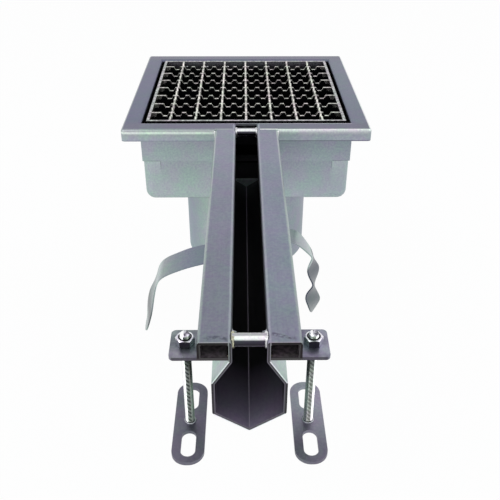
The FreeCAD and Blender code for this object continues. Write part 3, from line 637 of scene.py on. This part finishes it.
def spacer_steel():
    """Round bar in painted light: a painted highlight above, grey-violet in the middle, painted
    shade and then a thin painted highlight underneath.
    """
    paint = Paint("spacer steel")
    z = paint.axes()[2]
    base = paint.graded(z - (FLOOR_LEVEL - SPACER_RADIUS), [
        (-0.0031, (0.05, 0.045, 0.06)), (-0.0026, (0.72, 0.68, 0.78)),
        (-0.0022, (0.72, 0.68, 0.78)), (-0.0017, (0.04, 0.035, 0.05)),
        (-0.0002, (0.02, 0.018, 0.025)), (0.0006, (0.04, 0.037, 0.05)),
        (0.0019, (0.05, 0.05, 0.065)), (0.0027, (0.80, 0.84, 0.82)),
        (0.0037, (0.95, 0.98, 0.94)), (0.0039, (0.42, 0.43, 0.44))])
    return paint.brushed(base, roughness=0.3, metallic=0.95)


def plain_steel(name, colour, roughness=0.38, metallic=0.9):
    """One cloudy colour, for the pieces that hardly show."""
    paint = Paint(name)
    spots = paint.noise(45.0, 3.0)
    base = paint.blend(paint.between(spots, 0.35, 0.7), tone(colour, 0.88), tone(colour, 1.14))
    return paint.brushed(base, roughness=roughness, metallic=metallic)


def strap_steel(name, stops):
    """Thin strip whose painted light and shade change from its weld to its loose end; stops in
    millimetres.
    """
    paint = Paint(name)
    x, _, z = paint.axes()
    run = abs(x) + (FLOOR_LEVEL - z)
    base = paint.graded(run * 1000.0, stops)
    return paint.brushed(base, roughness=0.34)


def bracket_steel():
    """Bracket: painted shade under the flange and on its front edge, cloudy grey outside, darker at
    the left in painted light.
    """
    paint = Paint("bracket steel")
    x, y, _ = paint.axes()
    clouds = paint.between(paint.noise(110.0, 3.0), 0.35, 0.65)
    # painted light and shade: darker at the left
    left = paint.blend(clouds, tone((0.112, 0.12, 0.142)), tone((0.249, 0.267, 0.292)))
    right = paint.blend(clouds, tone((0.172, 0.172, 0.224)), tone((0.31, 0.31, 0.378)))
    base = paint.by_side(x, left, right)
    front = paint.between(y, FREE_END + 0.0011, FREE_END + 0.0007)
    # painted shade on the front edge
    base = paint.blend(front * 0.8, base, tone((0.052, 0.052, 0.06)))
    # painted shade under the flange, darkest at the front
    under_flange = paint.between(abs(x), CHANNEL_HALF + 0.0006, CHANNEL_HALF - 0.0002)
    shadow = paint.blend(front, hollow_shade(paint), tone(HOLLOW_SHADE, 0.3))
    base = paint.blend(under_flange, base, shadow)
    return paint.brushed(base, roughness=0.36, metallic=0.9 - under_flange * 0.9, grain=(1, 0.1, 1))


def stud_steel(name, side, groove, ridge, inner_reflection):
    """Bright thread in painted light: a painted white highlight on its outer side, slanted grooves
    in painted shade, a paler painted band on its inner side, dark painted outlines and painted
    highlights on its end.
    """
    paint = Paint(name)
    x, y, z = paint.axes()
    out = x * side - STUD_X
    marks = paint.noise(420.0, 2.0)
    stripe = 0.0033
    # painted shade in the slanted grooves
    slant = paint.maths("SINE", (z + out * (0.9 * side)) * (2 * math.pi / stripe))
    grooves = paint.blend(paint.between(slant + marks * 1.6, 0.0, 1.6), tone(groove), tone(ridge))
    # paler painted band on the inner side
    base = paint.blend(paint.between(out, -0.0010, -0.0015), grooves, tone(inner_reflection))
    # painted highlight on the outer side
    base = paint.blend(paint.between(out, 0.0010, 0.0014), base, tone((0.95, 1.0, 0.95)))
    # painted shade along the stud's outline
    rims = paint.between(abs(out), 0.0027, 0.0029) * 0.4
    base = paint.blend(rims, base, tone((0.26, 0.28, 0.27)))
    # painted light and shade on the end, with a painted highlight on part of it
    end = paint.between(z, STUD_TOP - 0.0016, STUD_TOP - 0.0012)
    facets = paint.blend(paint.between(marks, 0.42, 0.58), tone((0.12, 0.12, 0.14)),
                         tone((0.62, 0.62, 0.66)))
    lit = paint.between(out * side, -0.0004, -0.0008)
    facets = paint.blend(lit, facets, tone((0.95, 0.95, 0.95)))
    base = paint.blend(end, base, facets)
    return paint.brushed(base, roughness=0.26, metallic=0.95)


def nut_steel():
    """Nut: painted glare on its flanks, a dark painted reflection on its front and a ring of
    painted shade round the stud.
    """
    paint = Paint("nut steel")
    x, y, z = paint.axes()
    out = abs(x) - STUD_X
    ahead = y - STUD_Y
    marks = paint.between(paint.noise(420.0, 2.0), 0.3, 0.7)
    # painted glare on the flanks
    base = paint.blend(marks, tone((0.60, 0.58, 0.66)), tone((1.0, 1.0, 1.0)))
    # dark painted reflection on the front
    front = paint.between(ahead, -0.0046, -0.0049)
    base = paint.blend(front, base, tone((0.06, 0.055, 0.07)))
    radius = paint.maths("SQRT", out * out + ahead * ahead)
    # painted shade in a ring round the stud
    ring = paint.near(radius, 0.0036, 0.0005)
    base = paint.blend(ring, base, tone((0.03, 0.03, 0.035)))
    return paint.brushed(base, roughness=0.24, metallic=0.95)


def foot_steel():
    """Foot plates: dark slate, the right one paler toward its rear."""
    paint = Paint("foot plate steel")
    x, y, _ = paint.axes()
    clouds = paint.between(paint.noise(60.0, 3.0), 0.35, 0.7)
    slate = paint.blend(clouds, tone((0.142, 0.142, 0.176)), tone((0.176, 0.176, 0.215)))
    pale = paint.between(x, -0.001, 0.001) * paint.between(y, STUD_Y - 0.020, STUD_Y + 0.012)
    base = paint.blend(pale, slate, tone((0.318, 0.314, 0.378)))
    return paint.brushed(base, roughness=0.42)


def weld_steel(name, colour, tint):
    """Rippled weld metal in the given colours, with heat colour in places; the dark one is painted
    shade.
    """
    paint = Paint(name)
    spots = paint.noise(160.0, 2.0)
    base = paint.blend(paint.between(spots, 0.35, 0.65), tone(colour), tone(tint))
    return paint.finish(base_color=base, metallic=0.9, roughness=spots * 0.2 + 0.18)


finishes = {
    "frame": frame_steel(),
    "channel": channel_steel(),
    "bowl": bowl_steel(),
    # ledge and trap insert made near-black as painted shade
    "seat": plain_steel("ledge steel in painted shade", (0.05, 0.05, 0.06)),
    "pot": pot_steel(),
    "outlet": plain_steel("outlet steel", (0.44, 0.48, 0.49), 0.45, 0.8),
    "insert": plain_steel("trap insert steel in painted shade", (0.03, 0.03, 0.035), 0.4),
    # the second colour of each grating finish is its painted shade
    "grate_rim": grate_steel("grating rim steel", (0.46, 0.46, 0.46), (0.02, 0.02, 0.024), 0.35,
                             True),
    "grate_bar": grate_steel("grating bar steel", (0.74, 0.72, 0.66), (0.015, 0.015, 0.018), 0.3,
                             False),
    "spacer": spacer_steel(),
    "bracket": bracket_steel(),
    # left stud: darker painted light than the right one
    "stud": stud_steel("left stud steel", -1, (0.035, 0.045, 0.04), (0.20, 0.235, 0.21),
                       (0.29, 0.33, 0.28)),
    "nut": nut_steel(),
    "foot": foot_steel(),
    # painted light and shade along the left strap: a painted highlight round 124 mm, painted shade
    # from 163 to 175 mm
    "strap": strap_steel("left strap steel", [
        (57, (0.17, 0.195, 0.245)), (85, (0.195, 0.225, 0.275)), (102, (0.22, 0.26, 0.285)),
        (116, (0.28, 0.325, 0.325)), (124, (0.44, 0.52, 0.50)), (140, (0.30, 0.355, 0.35)),
        (155, (0.23, 0.28, 0.28)), (163, (0.11, 0.13, 0.135)), (175, (0.11, 0.13, 0.135)),
        (183, (0.32, 0.39, 0.37)), (203, (0.42, 0.51, 0.48))]),
}
# painted light and shade along the right strap: a painted highlight round 102 mm, painted shade
# from 106 to 156 mm
right_strap_steel = strap_steel("right strap steel", [
    (62, (0.28, 0.33, 0.34)), (85, (0.32, 0.38, 0.38)), (94, (0.37, 0.43, 0.43)),
    (102, (0.42, 0.50, 0.48)), (106, (0.055, 0.07, 0.095)), (125, (0.045, 0.06, 0.085)),
    (142, (0.065, 0.09, 0.11)), (156, (0.09, 0.12, 0.13)), (175, (0.17, 0.22, 0.215))])
right_stud_steel = stud_steel("right stud steel", 1, (0.15, 0.165, 0.15), (0.33, 0.36, 0.33),
                              (0.24, 0.265, 0.25))
bright_weld = weld_steel("bright weld", (0.86, 0.86, 0.86), (0.60, 0.60, 0.62))
warm_weld = weld_steel("warm weld", (0.62, 0.62, 0.44), (0.34, 0.33, 0.26))
# weld inside the hollow under the flange, darkened as painted shade
shaded_weld = weld_steel("weld in painted shade", (0.10, 0.09, 0.07), (0.05, 0.045, 0.04))
grey_weld = weld_steel("grey weld", (0.42, 0.44, 0.46), (0.28, 0.28, 0.32))

node_slots = {row["node"]: row["material_slot"] for row in frame["record"]["subparts"]}
for node_name, node in frame["nodes"].items():
    node.data.materials.clear()
    node.data.materials.append(finishes[node_slots[node_name]])


# Levelling legs

def threaded_stud(name, x, body, node_name, material):
    """M6 stud: a V profile run up the axis as a screw, over a plain core with a chamfered upper
    end.
    """
    pitch = 0.001
    root = 0.00245
    depth = 0.00055
    turns = round((STUD_TOP - 0.0012 - FOOT_TOP) / pitch)
    deselect()
    bpy.ops.mesh.primitive_plane_add(size=pitch / math.sqrt(2), location=(0, 0, 0),
                                     rotation=(math.pi / 2, 0, 0))
    thread = bpy.context.active_object
    thread.name = name
    bpy.ops.object.transform_apply(location=False, rotation=True, scale=False)
    bpy.ops.object.mode_set(mode="EDIT")
    bpy.ops.mesh.select_all(action="SELECT")
    bpy.ops.transform.rotate(value=math.pi / 4, orient_axis="Y", center_override=(0, 0, 0))
    bpy.ops.transform.resize(value=(2 * depth / pitch, 1, 1))
    pick_vertices(thread, lambda spot: spot.x < -pitch / 8)
    bpy.ops.mesh.delete(type="VERT")
    bpy.ops.mesh.select_all(action="SELECT")
    bpy.ops.transform.translate(value=(root, 0, pitch / 2))
    bpy.ops.object.mode_set(mode="OBJECT")
    apply_modifier(thread, "thread", "SCREW", axis="Z", screw_offset=pitch, iterations=turns,
                   steps=20, render_steps=20)
    bpy.ops.object.mode_set(mode="EDIT")
    bpy.ops.mesh.select_all(action="SELECT")
    bpy.ops.mesh.remove_doubles(threshold=0.00001)
    bpy.ops.mesh.normals_make_consistent(inside=False)
    bpy.ops.transform.translate(value=(x, STUD_Y, FOOT_TOP))
    bpy.ops.object.mode_set(mode="OBJECT")

    deselect()
    bpy.ops.mesh.primitive_cylinder_add(vertices=32, radius=root + 0.00002,
                                        depth=STUD_TOP - FOOT_TOP,
                                        location=(x, STUD_Y, (STUD_TOP + FOOT_TOP) / 2))
    core = bpy.context.active_object
    bpy.ops.object.transform_apply(location=True, rotation=False, scale=False)
    pick_vertices(core, lambda spot: spot.z > STUD_TOP - 0.0001)
    bpy.ops.mesh.select_mode(type="FACE")
    bpy.ops.mesh.bevel(offset=0.0004, segments=2, affect="EDGES")
    bpy.ops.object.mode_set(mode="OBJECT")
    deselect()
    thread.select_set(True)
    core.select_set(True)
    bpy.context.view_layer.objects.active = thread
    bpy.ops.object.join()
    settle(thread, body, material, 50)
    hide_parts(node_name)


def chamfered_nut(name, x, foot, body, node_name):
    """Hexagon nut: a six-sided bar trimmed by a drum with sloping ends, then bored."""
    corner = NUT_FLATS / math.sqrt(3)
    face = NUT_FLATS * 0.475
    middle = Vector((x, STUD_Y, foot + NUT_HEIGHT / 2))
    drum_radius = corner * 1.01
    drop = (drum_radius - face) * math.tan(math.radians(30))
    deselect()
    bpy.ops.mesh.primitive_cylinder_add(vertices=6, radius=corner, depth=NUT_HEIGHT,
                                        location=middle, rotation=(0, 0, math.pi / 6))
    nut = bpy.context.active_object
    nut.name = name
    deselect()
    bpy.ops.mesh.primitive_cylinder_add(vertices=48, radius=drum_radius,
                                        depth=NUT_HEIGHT - 2 * drop, location=middle)
    drum = bpy.context.active_object
    for way in (1, -1):
        pick_vertices(drum, lambda spot: spot.z * way > 0)
        bpy.ops.mesh.select_mode(type="FACE")
        bpy.ops.mesh.extrude_region_move(TRANSFORM_OT_translate={"value": (0, 0, way * drop)})
        bpy.ops.transform.resize(value=(face / drum_radius, face / drum_radius, 1))
        bpy.ops.object.mode_set(mode="OBJECT")
    carve(nut, drum, "INTERSECT")
    deselect()
    bpy.ops.mesh.primitive_cylinder_add(vertices=40, radius=0.00304, depth=NUT_HEIGHT * 2,
                                        location=middle)
    carve(nut, bpy.context.active_object, "DIFFERENCE")
    settle(nut, body, finishes["nut"], 25)
    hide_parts(node_name)


for side_name, side in SIDES:
    leg = f"{side_name}_leg"
    threaded_stud(f"{side_name}_threaded_stud", side * STUD_X, leg, f"{side_name}_stud",
                  finishes["stud"] if side < 0 else right_stud_steel)
    weld_ring(f"{side_name}_stud_weld", (side * STUD_X, STUD_Y, FOOT_TOP + 0.0002), (0, 0, 0),
              0.0033, 0.0008, grey_weld, leg, 20)
    for which, foot in (("upper", BRACKET_TOP), ("lower", BRACKET_TOP - SHEET - NUT_HEIGHT)):
        piece_name = f"{side_name}_{which}_nut"
        chamfered_nut(f"{piece_name}_chamfered", side * STUD_X, foot, piece_name, piece_name)


# Bowl

def pressed_bowl():
    """Bowl under the collar: upright and lower edges rounded, hollowed out, pierced twice."""
    height = COLLAR_FOOT - BOWL_FOOT
    through = 0.012            # how deep the two openings' tools reach
    deselect()
    bpy.ops.mesh.primitive_cube_add(size=1, location=(0, 0, BOWL_FOOT + height / 2),
                                    scale=(2 * COLLAR_HALF, 2 * COLLAR_HALF, height))
    bowl = bpy.context.active_object
    bowl.name = "pressed_bowl"
    bpy.ops.object.transform_apply(location=True, rotation=False, scale=True)
    pick_edges(bowl, lambda first, second: abs(first.z - second.z) > height / 2)
    bpy.ops.mesh.bevel(offset=BOWL_ROUND, segments=7, affect="EDGES")
    pick_edges(bowl, lambda first, second: max(first.z, second.z) < BOWL_FOOT + 0.0001)
    bpy.ops.mesh.bevel(offset=BOWL_ROUND - 0.0003, segments=6, affect="EDGES")
    pick_edges(bowl, lambda first, second: min(first.z, second.z) > COLLAR_FOOT - 0.0001)
    bpy.ops.mesh.select_mode(type="FACE")
    bpy.ops.mesh.delete(type="ONLY_FACE")
    bpy.ops.object.mode_set(mode="OBJECT")
    apply_modifier(bowl, "wall", "SOLIDIFY", thickness=SHEET, offset=-1.0)

    deselect()
    bpy.ops.mesh.primitive_cylinder_add(vertices=96, radius=POT_RADIUS - SHEET, depth=through,
                                        location=(0, 0, BOWL_FOOT))
    carve(bowl, bpy.context.active_object, "DIFFERENCE")

    top = COLLAR_FOOT + 0.001
    deselect()
    bpy.ops.mesh.primitive_cube_add(size=1, location=(0, -COLLAR_HALF, (top + WATER_WAY_FOOT) / 2),
                                    scale=(2 * (BODY_HALF - SHEET), through, top - WATER_WAY_FOOT))
    carve(bowl, bpy.context.active_object, "DIFFERENCE")
    settle(bowl, "drain", finishes["bowl"], 30)
    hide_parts("sump_bowl")


pressed_bowl()


# Anchor straps

def move_vertex(piece, index, target):
    """Moves one vertex of a mesh to its target."""
    pick_vertices(piece, lambda spot: False)
    bpy.ops.object.mode_set(mode="OBJECT")
    vertex = piece.data.vertices[index]
    vertex.select = True
    step = target - vertex.co
    bpy.ops.object.mode_set(mode="EDIT")
    bpy.ops.transform.translate(value=step)
    bpy.ops.object.mode_set(mode="OBJECT")


def anchor_strap(name, node_name, side, middle, stations, material):
    """A thin strip drawn out edge by edge through its stations, then smoothed and thickened."""
    deselect()
    bpy.ops.mesh.primitive_plane_add(size=2 * STRAP_HALF_WIDTH, location=(0, 0, 0))
    strap = bpy.context.active_object
    strap.name = name
    pick_vertices(strap, lambda spot: spot.x > 0)
    bpy.ops.mesh.delete(type="VERT")
    bpy.ops.object.mode_set(mode="OBJECT")
    for count, (front_out, front_down, rear_out, rear_down) in enumerate(stations):
        if count:
            bpy.ops.object.mode_set(mode="EDIT")
            bpy.ops.mesh.extrude_edges_move()
            bpy.ops.object.mode_set(mode="OBJECT")
        vertices = strap.data.vertices
        front, rear = sorted(range(len(vertices) - 2, len(vertices)),
                             key=lambda index: vertices[index].co.y)
        move_vertex(strap, front, Vector((side * front_out / 1000, middle - STRAP_HALF_WIDTH,
                                          FLOOR_LEVEL - front_down / 1000)))
        move_vertex(strap, rear, Vector((side * rear_out / 1000, middle + STRAP_HALF_WIDTH,
                                         FLOOR_LEVEL - rear_down / 1000)))
        for index in (front, rear):
            strap.data.vertices[index].select = True
        bpy.ops.object.mode_set(mode="EDIT")
        bpy.ops.mesh.select_mode(type="EDGE")
        bpy.ops.object.mode_set(mode="OBJECT")
    apply_modifier(strap, "even", "SUBSURF", levels=2, render_levels=2)
    apply_modifier(strap, "sheet", "SOLIDIFY", thickness=0.001, offset=0.0)
    settle(strap, "drain", material, 35)
    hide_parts(node_name)


anchor_strap("left_bent_strap", "left_anchor_strap", -1, LEFT_STRAP_Y, LEFT_STRAP,
             finishes["strap"])
anchor_strap("right_twisted_strap", "right_anchor_strap", 1, RIGHT_STRAP_Y, RIGHT_STRAP,
             right_strap_steel)


# Welds

def spacer_welds():
    """Beads round both ends of the two spacer bars, on the walls of the slot."""
    axis_z = FLOOR_LEVEL - SPACER_RADIUS
    for label, y in (("front", FRONT_SPACER_Y), ("rear", REAR_SPACER_Y)):
        for side_name, side in SIDES:
            material = warm_weld if (label, side) == ("front", -1) else bright_weld
            ring = weld_ring(f"{label}_spacer_weld_{side_name}",
                             (side * (SLOT_HALF - 0.0004), y, axis_z), (0, math.pi / 2, 0),
                             SPACER_RADIUS + 0.0002, 0.0011, material, "drain")
            pick_vertices(ring, lambda spot: spot.z > FLOOR_LEVEL - 0.0002)
            bpy.ops.transform.resize(value=(1, 1, 0),
                                     center_override=(0, 0, FLOOR_LEVEL - 0.0002))
            bpy.ops.object.mode_set(mode="OBJECT")


def slot_fillet(side_name, side):
    """Weld metal that rounds the corner between the slot's wall and the front spacer."""
    reach = 0.0026
    back = FRONT_SPACER_Y + SPACER_RADIUS * 0.8
    corner = Vector((side * SLOT_HALF, back, FLOOR_LEVEL - 0.0020))
    deselect()
    bpy.ops.mesh.primitive_cube_add(size=1, location=corner + Vector(
        (-side * reach / 2, reach / 2, 0)), scale=(reach, reach, 0.0032))
    fillet = bpy.context.active_object
    fillet.name = f"front_slot_fillet_{side_name}"
    bpy.ops.object.transform_apply(location=True, rotation=False, scale=True)
    deselect()
    bpy.ops.mesh.primitive_cylinder_add(vertices=40, radius=reach * 0.98, depth=0.008,
                                        location=corner + Vector((-side * reach, reach, 0)))
    carve(fillet, bpy.context.active_object, "DIFFERENCE")
    settle(fillet, "drain", grey_weld)


def grate_tacks():
    """Small tack welds along the back rim's inner face, one beside each bearing bar."""
    deselect()
    first_x = -3 * MESH_PITCH + 0.0034
    bpy.ops.mesh.primitive_ico_sphere_add(subdivisions=2, radius=0.0013, location=(
        first_x, GRATE_HALF - RIM_BAR, FLOOR_LEVEL - 0.0064))
    tack = bpy.context.active_object
    tack.name = "grate_tack_1"
    bpy.ops.transform.resize(value=(1.1, 0.6, 0.8))
    for count in range(1, 7):
        twin = copied(tack, f"grate_tack_{count + 1}", (count * MESH_PITCH, 0, 0))
        settle(twin, "drain", bright_weld)
    settle(tack, "drain", bright_weld)


spacer_welds()
grate_tacks()
for side_name, side in SIDES:
    slot_fillet(side_name, side)
    # channel to the frame's skirt
    corner_x, corner_y = side * CHANNEL_HALF, FRONT_EDGE - 0.0004
    rippled_bead(f"skirt_weld_{side_name}", (corner_x, corner_y, FLOOR_LEVEL - 0.0014),
                 (corner_x, corner_y, SKIRT_FOOT + 0.0004), 0.0011, bright_weld)
    # bracket to the channel's neck, a weld darkened as painted shade in the hollow under the flange
    neck_x, bead_z = side * (SLOT_HALF + SHEET + 0.0002), BRACKET_TOP + 0.0003
    rippled_bead(f"bracket_weld_{side_name}", (neck_x, FREE_END + 0.0012, bead_z),
                 (neck_x, BRACKET_BACK, bead_z), 0.0010, shaded_weld)
    # strap to the channel's wall
    wall_x, bead_z = side * (BODY_HALF + 0.0003), FLOOR_LEVEL - 0.0338
    strap_y = LEFT_STRAP_Y if side < 0 else RIGHT_STRAP_Y
    rippled_bead(f"strap_weld_{side_name}", (wall_x, strap_y - STRAP_HALF_WIDTH, bead_z),
                 (wall_x, strap_y + STRAP_HALF_WIDTH, bead_z), 0.0010, grey_weld)
weld_ring("pot_weld", (0, 0, BOWL_FOOT), (0, 0, 0), POT_RADIUS + 0.0003, 0.0011, bright_weld,
          "drain", 220)


# Camera, light and floor

# The photograph's camera, fitted to the frame and the channel: degrees, millimetres, metres.
CAMERA_PITCH = 32.7411
CAMERA_YAW = 0.6967
CAMERA_ROLL = 0.1622
CAMERA_LENS = 47.4745
CAMERA_PLACE = (-0.003405, -0.709018, 0.522693)
LAMP_SIZE = 1.4
LAMP_TARGET = (0, -0.15, 0.22)
ROOM_LIGHT = 0.75
FLOOR_GLOW = 0.95          # share of plain white in the floor, where it is seen

def aim_camera():
    """Sets the fitted camera: pitch is downward, yaw from +Y toward +X, roll round the view."""
    pitch, yaw, roll = map(math.radians, (CAMERA_PITCH, CAMERA_YAW, CAMERA_ROLL))
    forward = Vector((math.sin(yaw) * math.cos(pitch), math.cos(yaw) * math.cos(pitch),
                      -math.sin(pitch)))
    level = Vector((math.cos(yaw), -math.sin(yaw), 0))
    above = level.cross(forward)
    right = level * math.cos(roll) + above * math.sin(roll)
    up = above * math.cos(roll) - level * math.sin(roll)
    data = bpy.data.cameras.new("camera")
    data.sensor_width = 36
    data.lens = CAMERA_LENS
    data.clip_start = 0.01
    data.clip_end = 30
    camera = bpy.data.objects.new("camera", data)
    bpy.context.scene.collection.objects.link(camera)
    turn = Matrix((right, up, -forward)).transposed()
    camera.matrix_world = Matrix.Translation(CAMERA_PLACE) @ turn.to_4x4()
    bpy.context.scene.camera = camera


def area_lamp(name, place, power):
    """A square lamp that faces the object."""
    data = bpy.data.lights.new(name, "AREA")
    data.shape = "SQUARE"
    data.size = LAMP_SIZE
    data.energy = power
    lamp = bpy.data.objects.new(name, data)
    bpy.context.scene.collection.objects.link(lamp)
    lamp.location = place
    lamp.rotation_euler = (Vector(LAMP_TARGET) - Vector(place)).to_track_quat("-Z", "Y").to_euler()


def set_world():
    """Pale room light; white where the camera looks past the object."""
    world = bpy.data.worlds.new("studio")
    bpy.context.scene.world = world
    world.use_nodes = True
    tree = world.node_tree
    tree.nodes.clear()
    rays = tree.nodes.new("ShaderNodeLightPath")
    seen = rays.outputs["Is Camera Ray"]
    for kind in ("Is Glossy Ray", "Is Transmission Ray"):
        either = tree.nodes.new("ShaderNodeMath")
        either.operation = "MAXIMUM"
        tree.links.new(seen, either.inputs[0])
        tree.links.new(rays.outputs[kind], either.inputs[1])
        seen = either.outputs[0]
    room = tree.nodes.new("ShaderNodeBackground")
    room.inputs["Color"].default_value = (0.95, 0.97, 1.0, 1)
    room.inputs["Strength"].default_value = ROOM_LIGHT
    white = tree.nodes.new("ShaderNodeBackground")
    white.inputs["Color"].default_value = (1, 1, 1, 1)
    white.inputs["Strength"].default_value = 1.0
    mix = tree.nodes.new("ShaderNodeMixShader")
    tree.links.new(seen, mix.inputs[0])
    tree.links.new(room.outputs[0], mix.inputs[1])
    tree.links.new(white.outputs[0], mix.inputs[2])
    out = tree.nodes.new("ShaderNodeOutputWorld")
    tree.links.new(mix.outputs[0], out.inputs["Surface"])


def lay_floor():
    """Floor that camera, glossy and transmission rays see as almost plain white."""
    deselect()
    bpy.ops.mesh.primitive_plane_add(size=12, location=(0, 0, -0.0006))
    floor = bpy.context.active_object
    floor.name = "studio_floor"
    paint = Paint("white floor")
    camera_ray, glossy_ray, clear_ray = (
        paint.node("ShaderNodeLightPath", output=index) for index in (0, 3, 6))
    shown = paint.larger(paint.larger(camera_ray, glossy_ray), clear_ray)
    matt = paint.node("ShaderNodeBsdfDiffuse", {}, {"Color": (0.9, 0.9, 0.9, 1)})
    glow = paint.node("ShaderNodeEmission", {}, {"Color": (1, 1, 1, 1), "Strength": 1.0})
    mixed = paint.node("ShaderNodeMixShader", {}, {0: shown * FLOOR_GLOW, 1: matt, 2: glow})
    paint.node("ShaderNodeOutputMaterial", {}, {"Surface": mixed})
    floor.data.materials.append(paint.material)


aim_camera()
set_world()
area_lamp("key lamp", (-1.1, -0.9, 1.7), 9)
area_lamp("fill lamp", (1.3, -0.2, 1.3), 5)
lay_floor()
bpy.context.scene.view_settings.view_transform = "Standard"
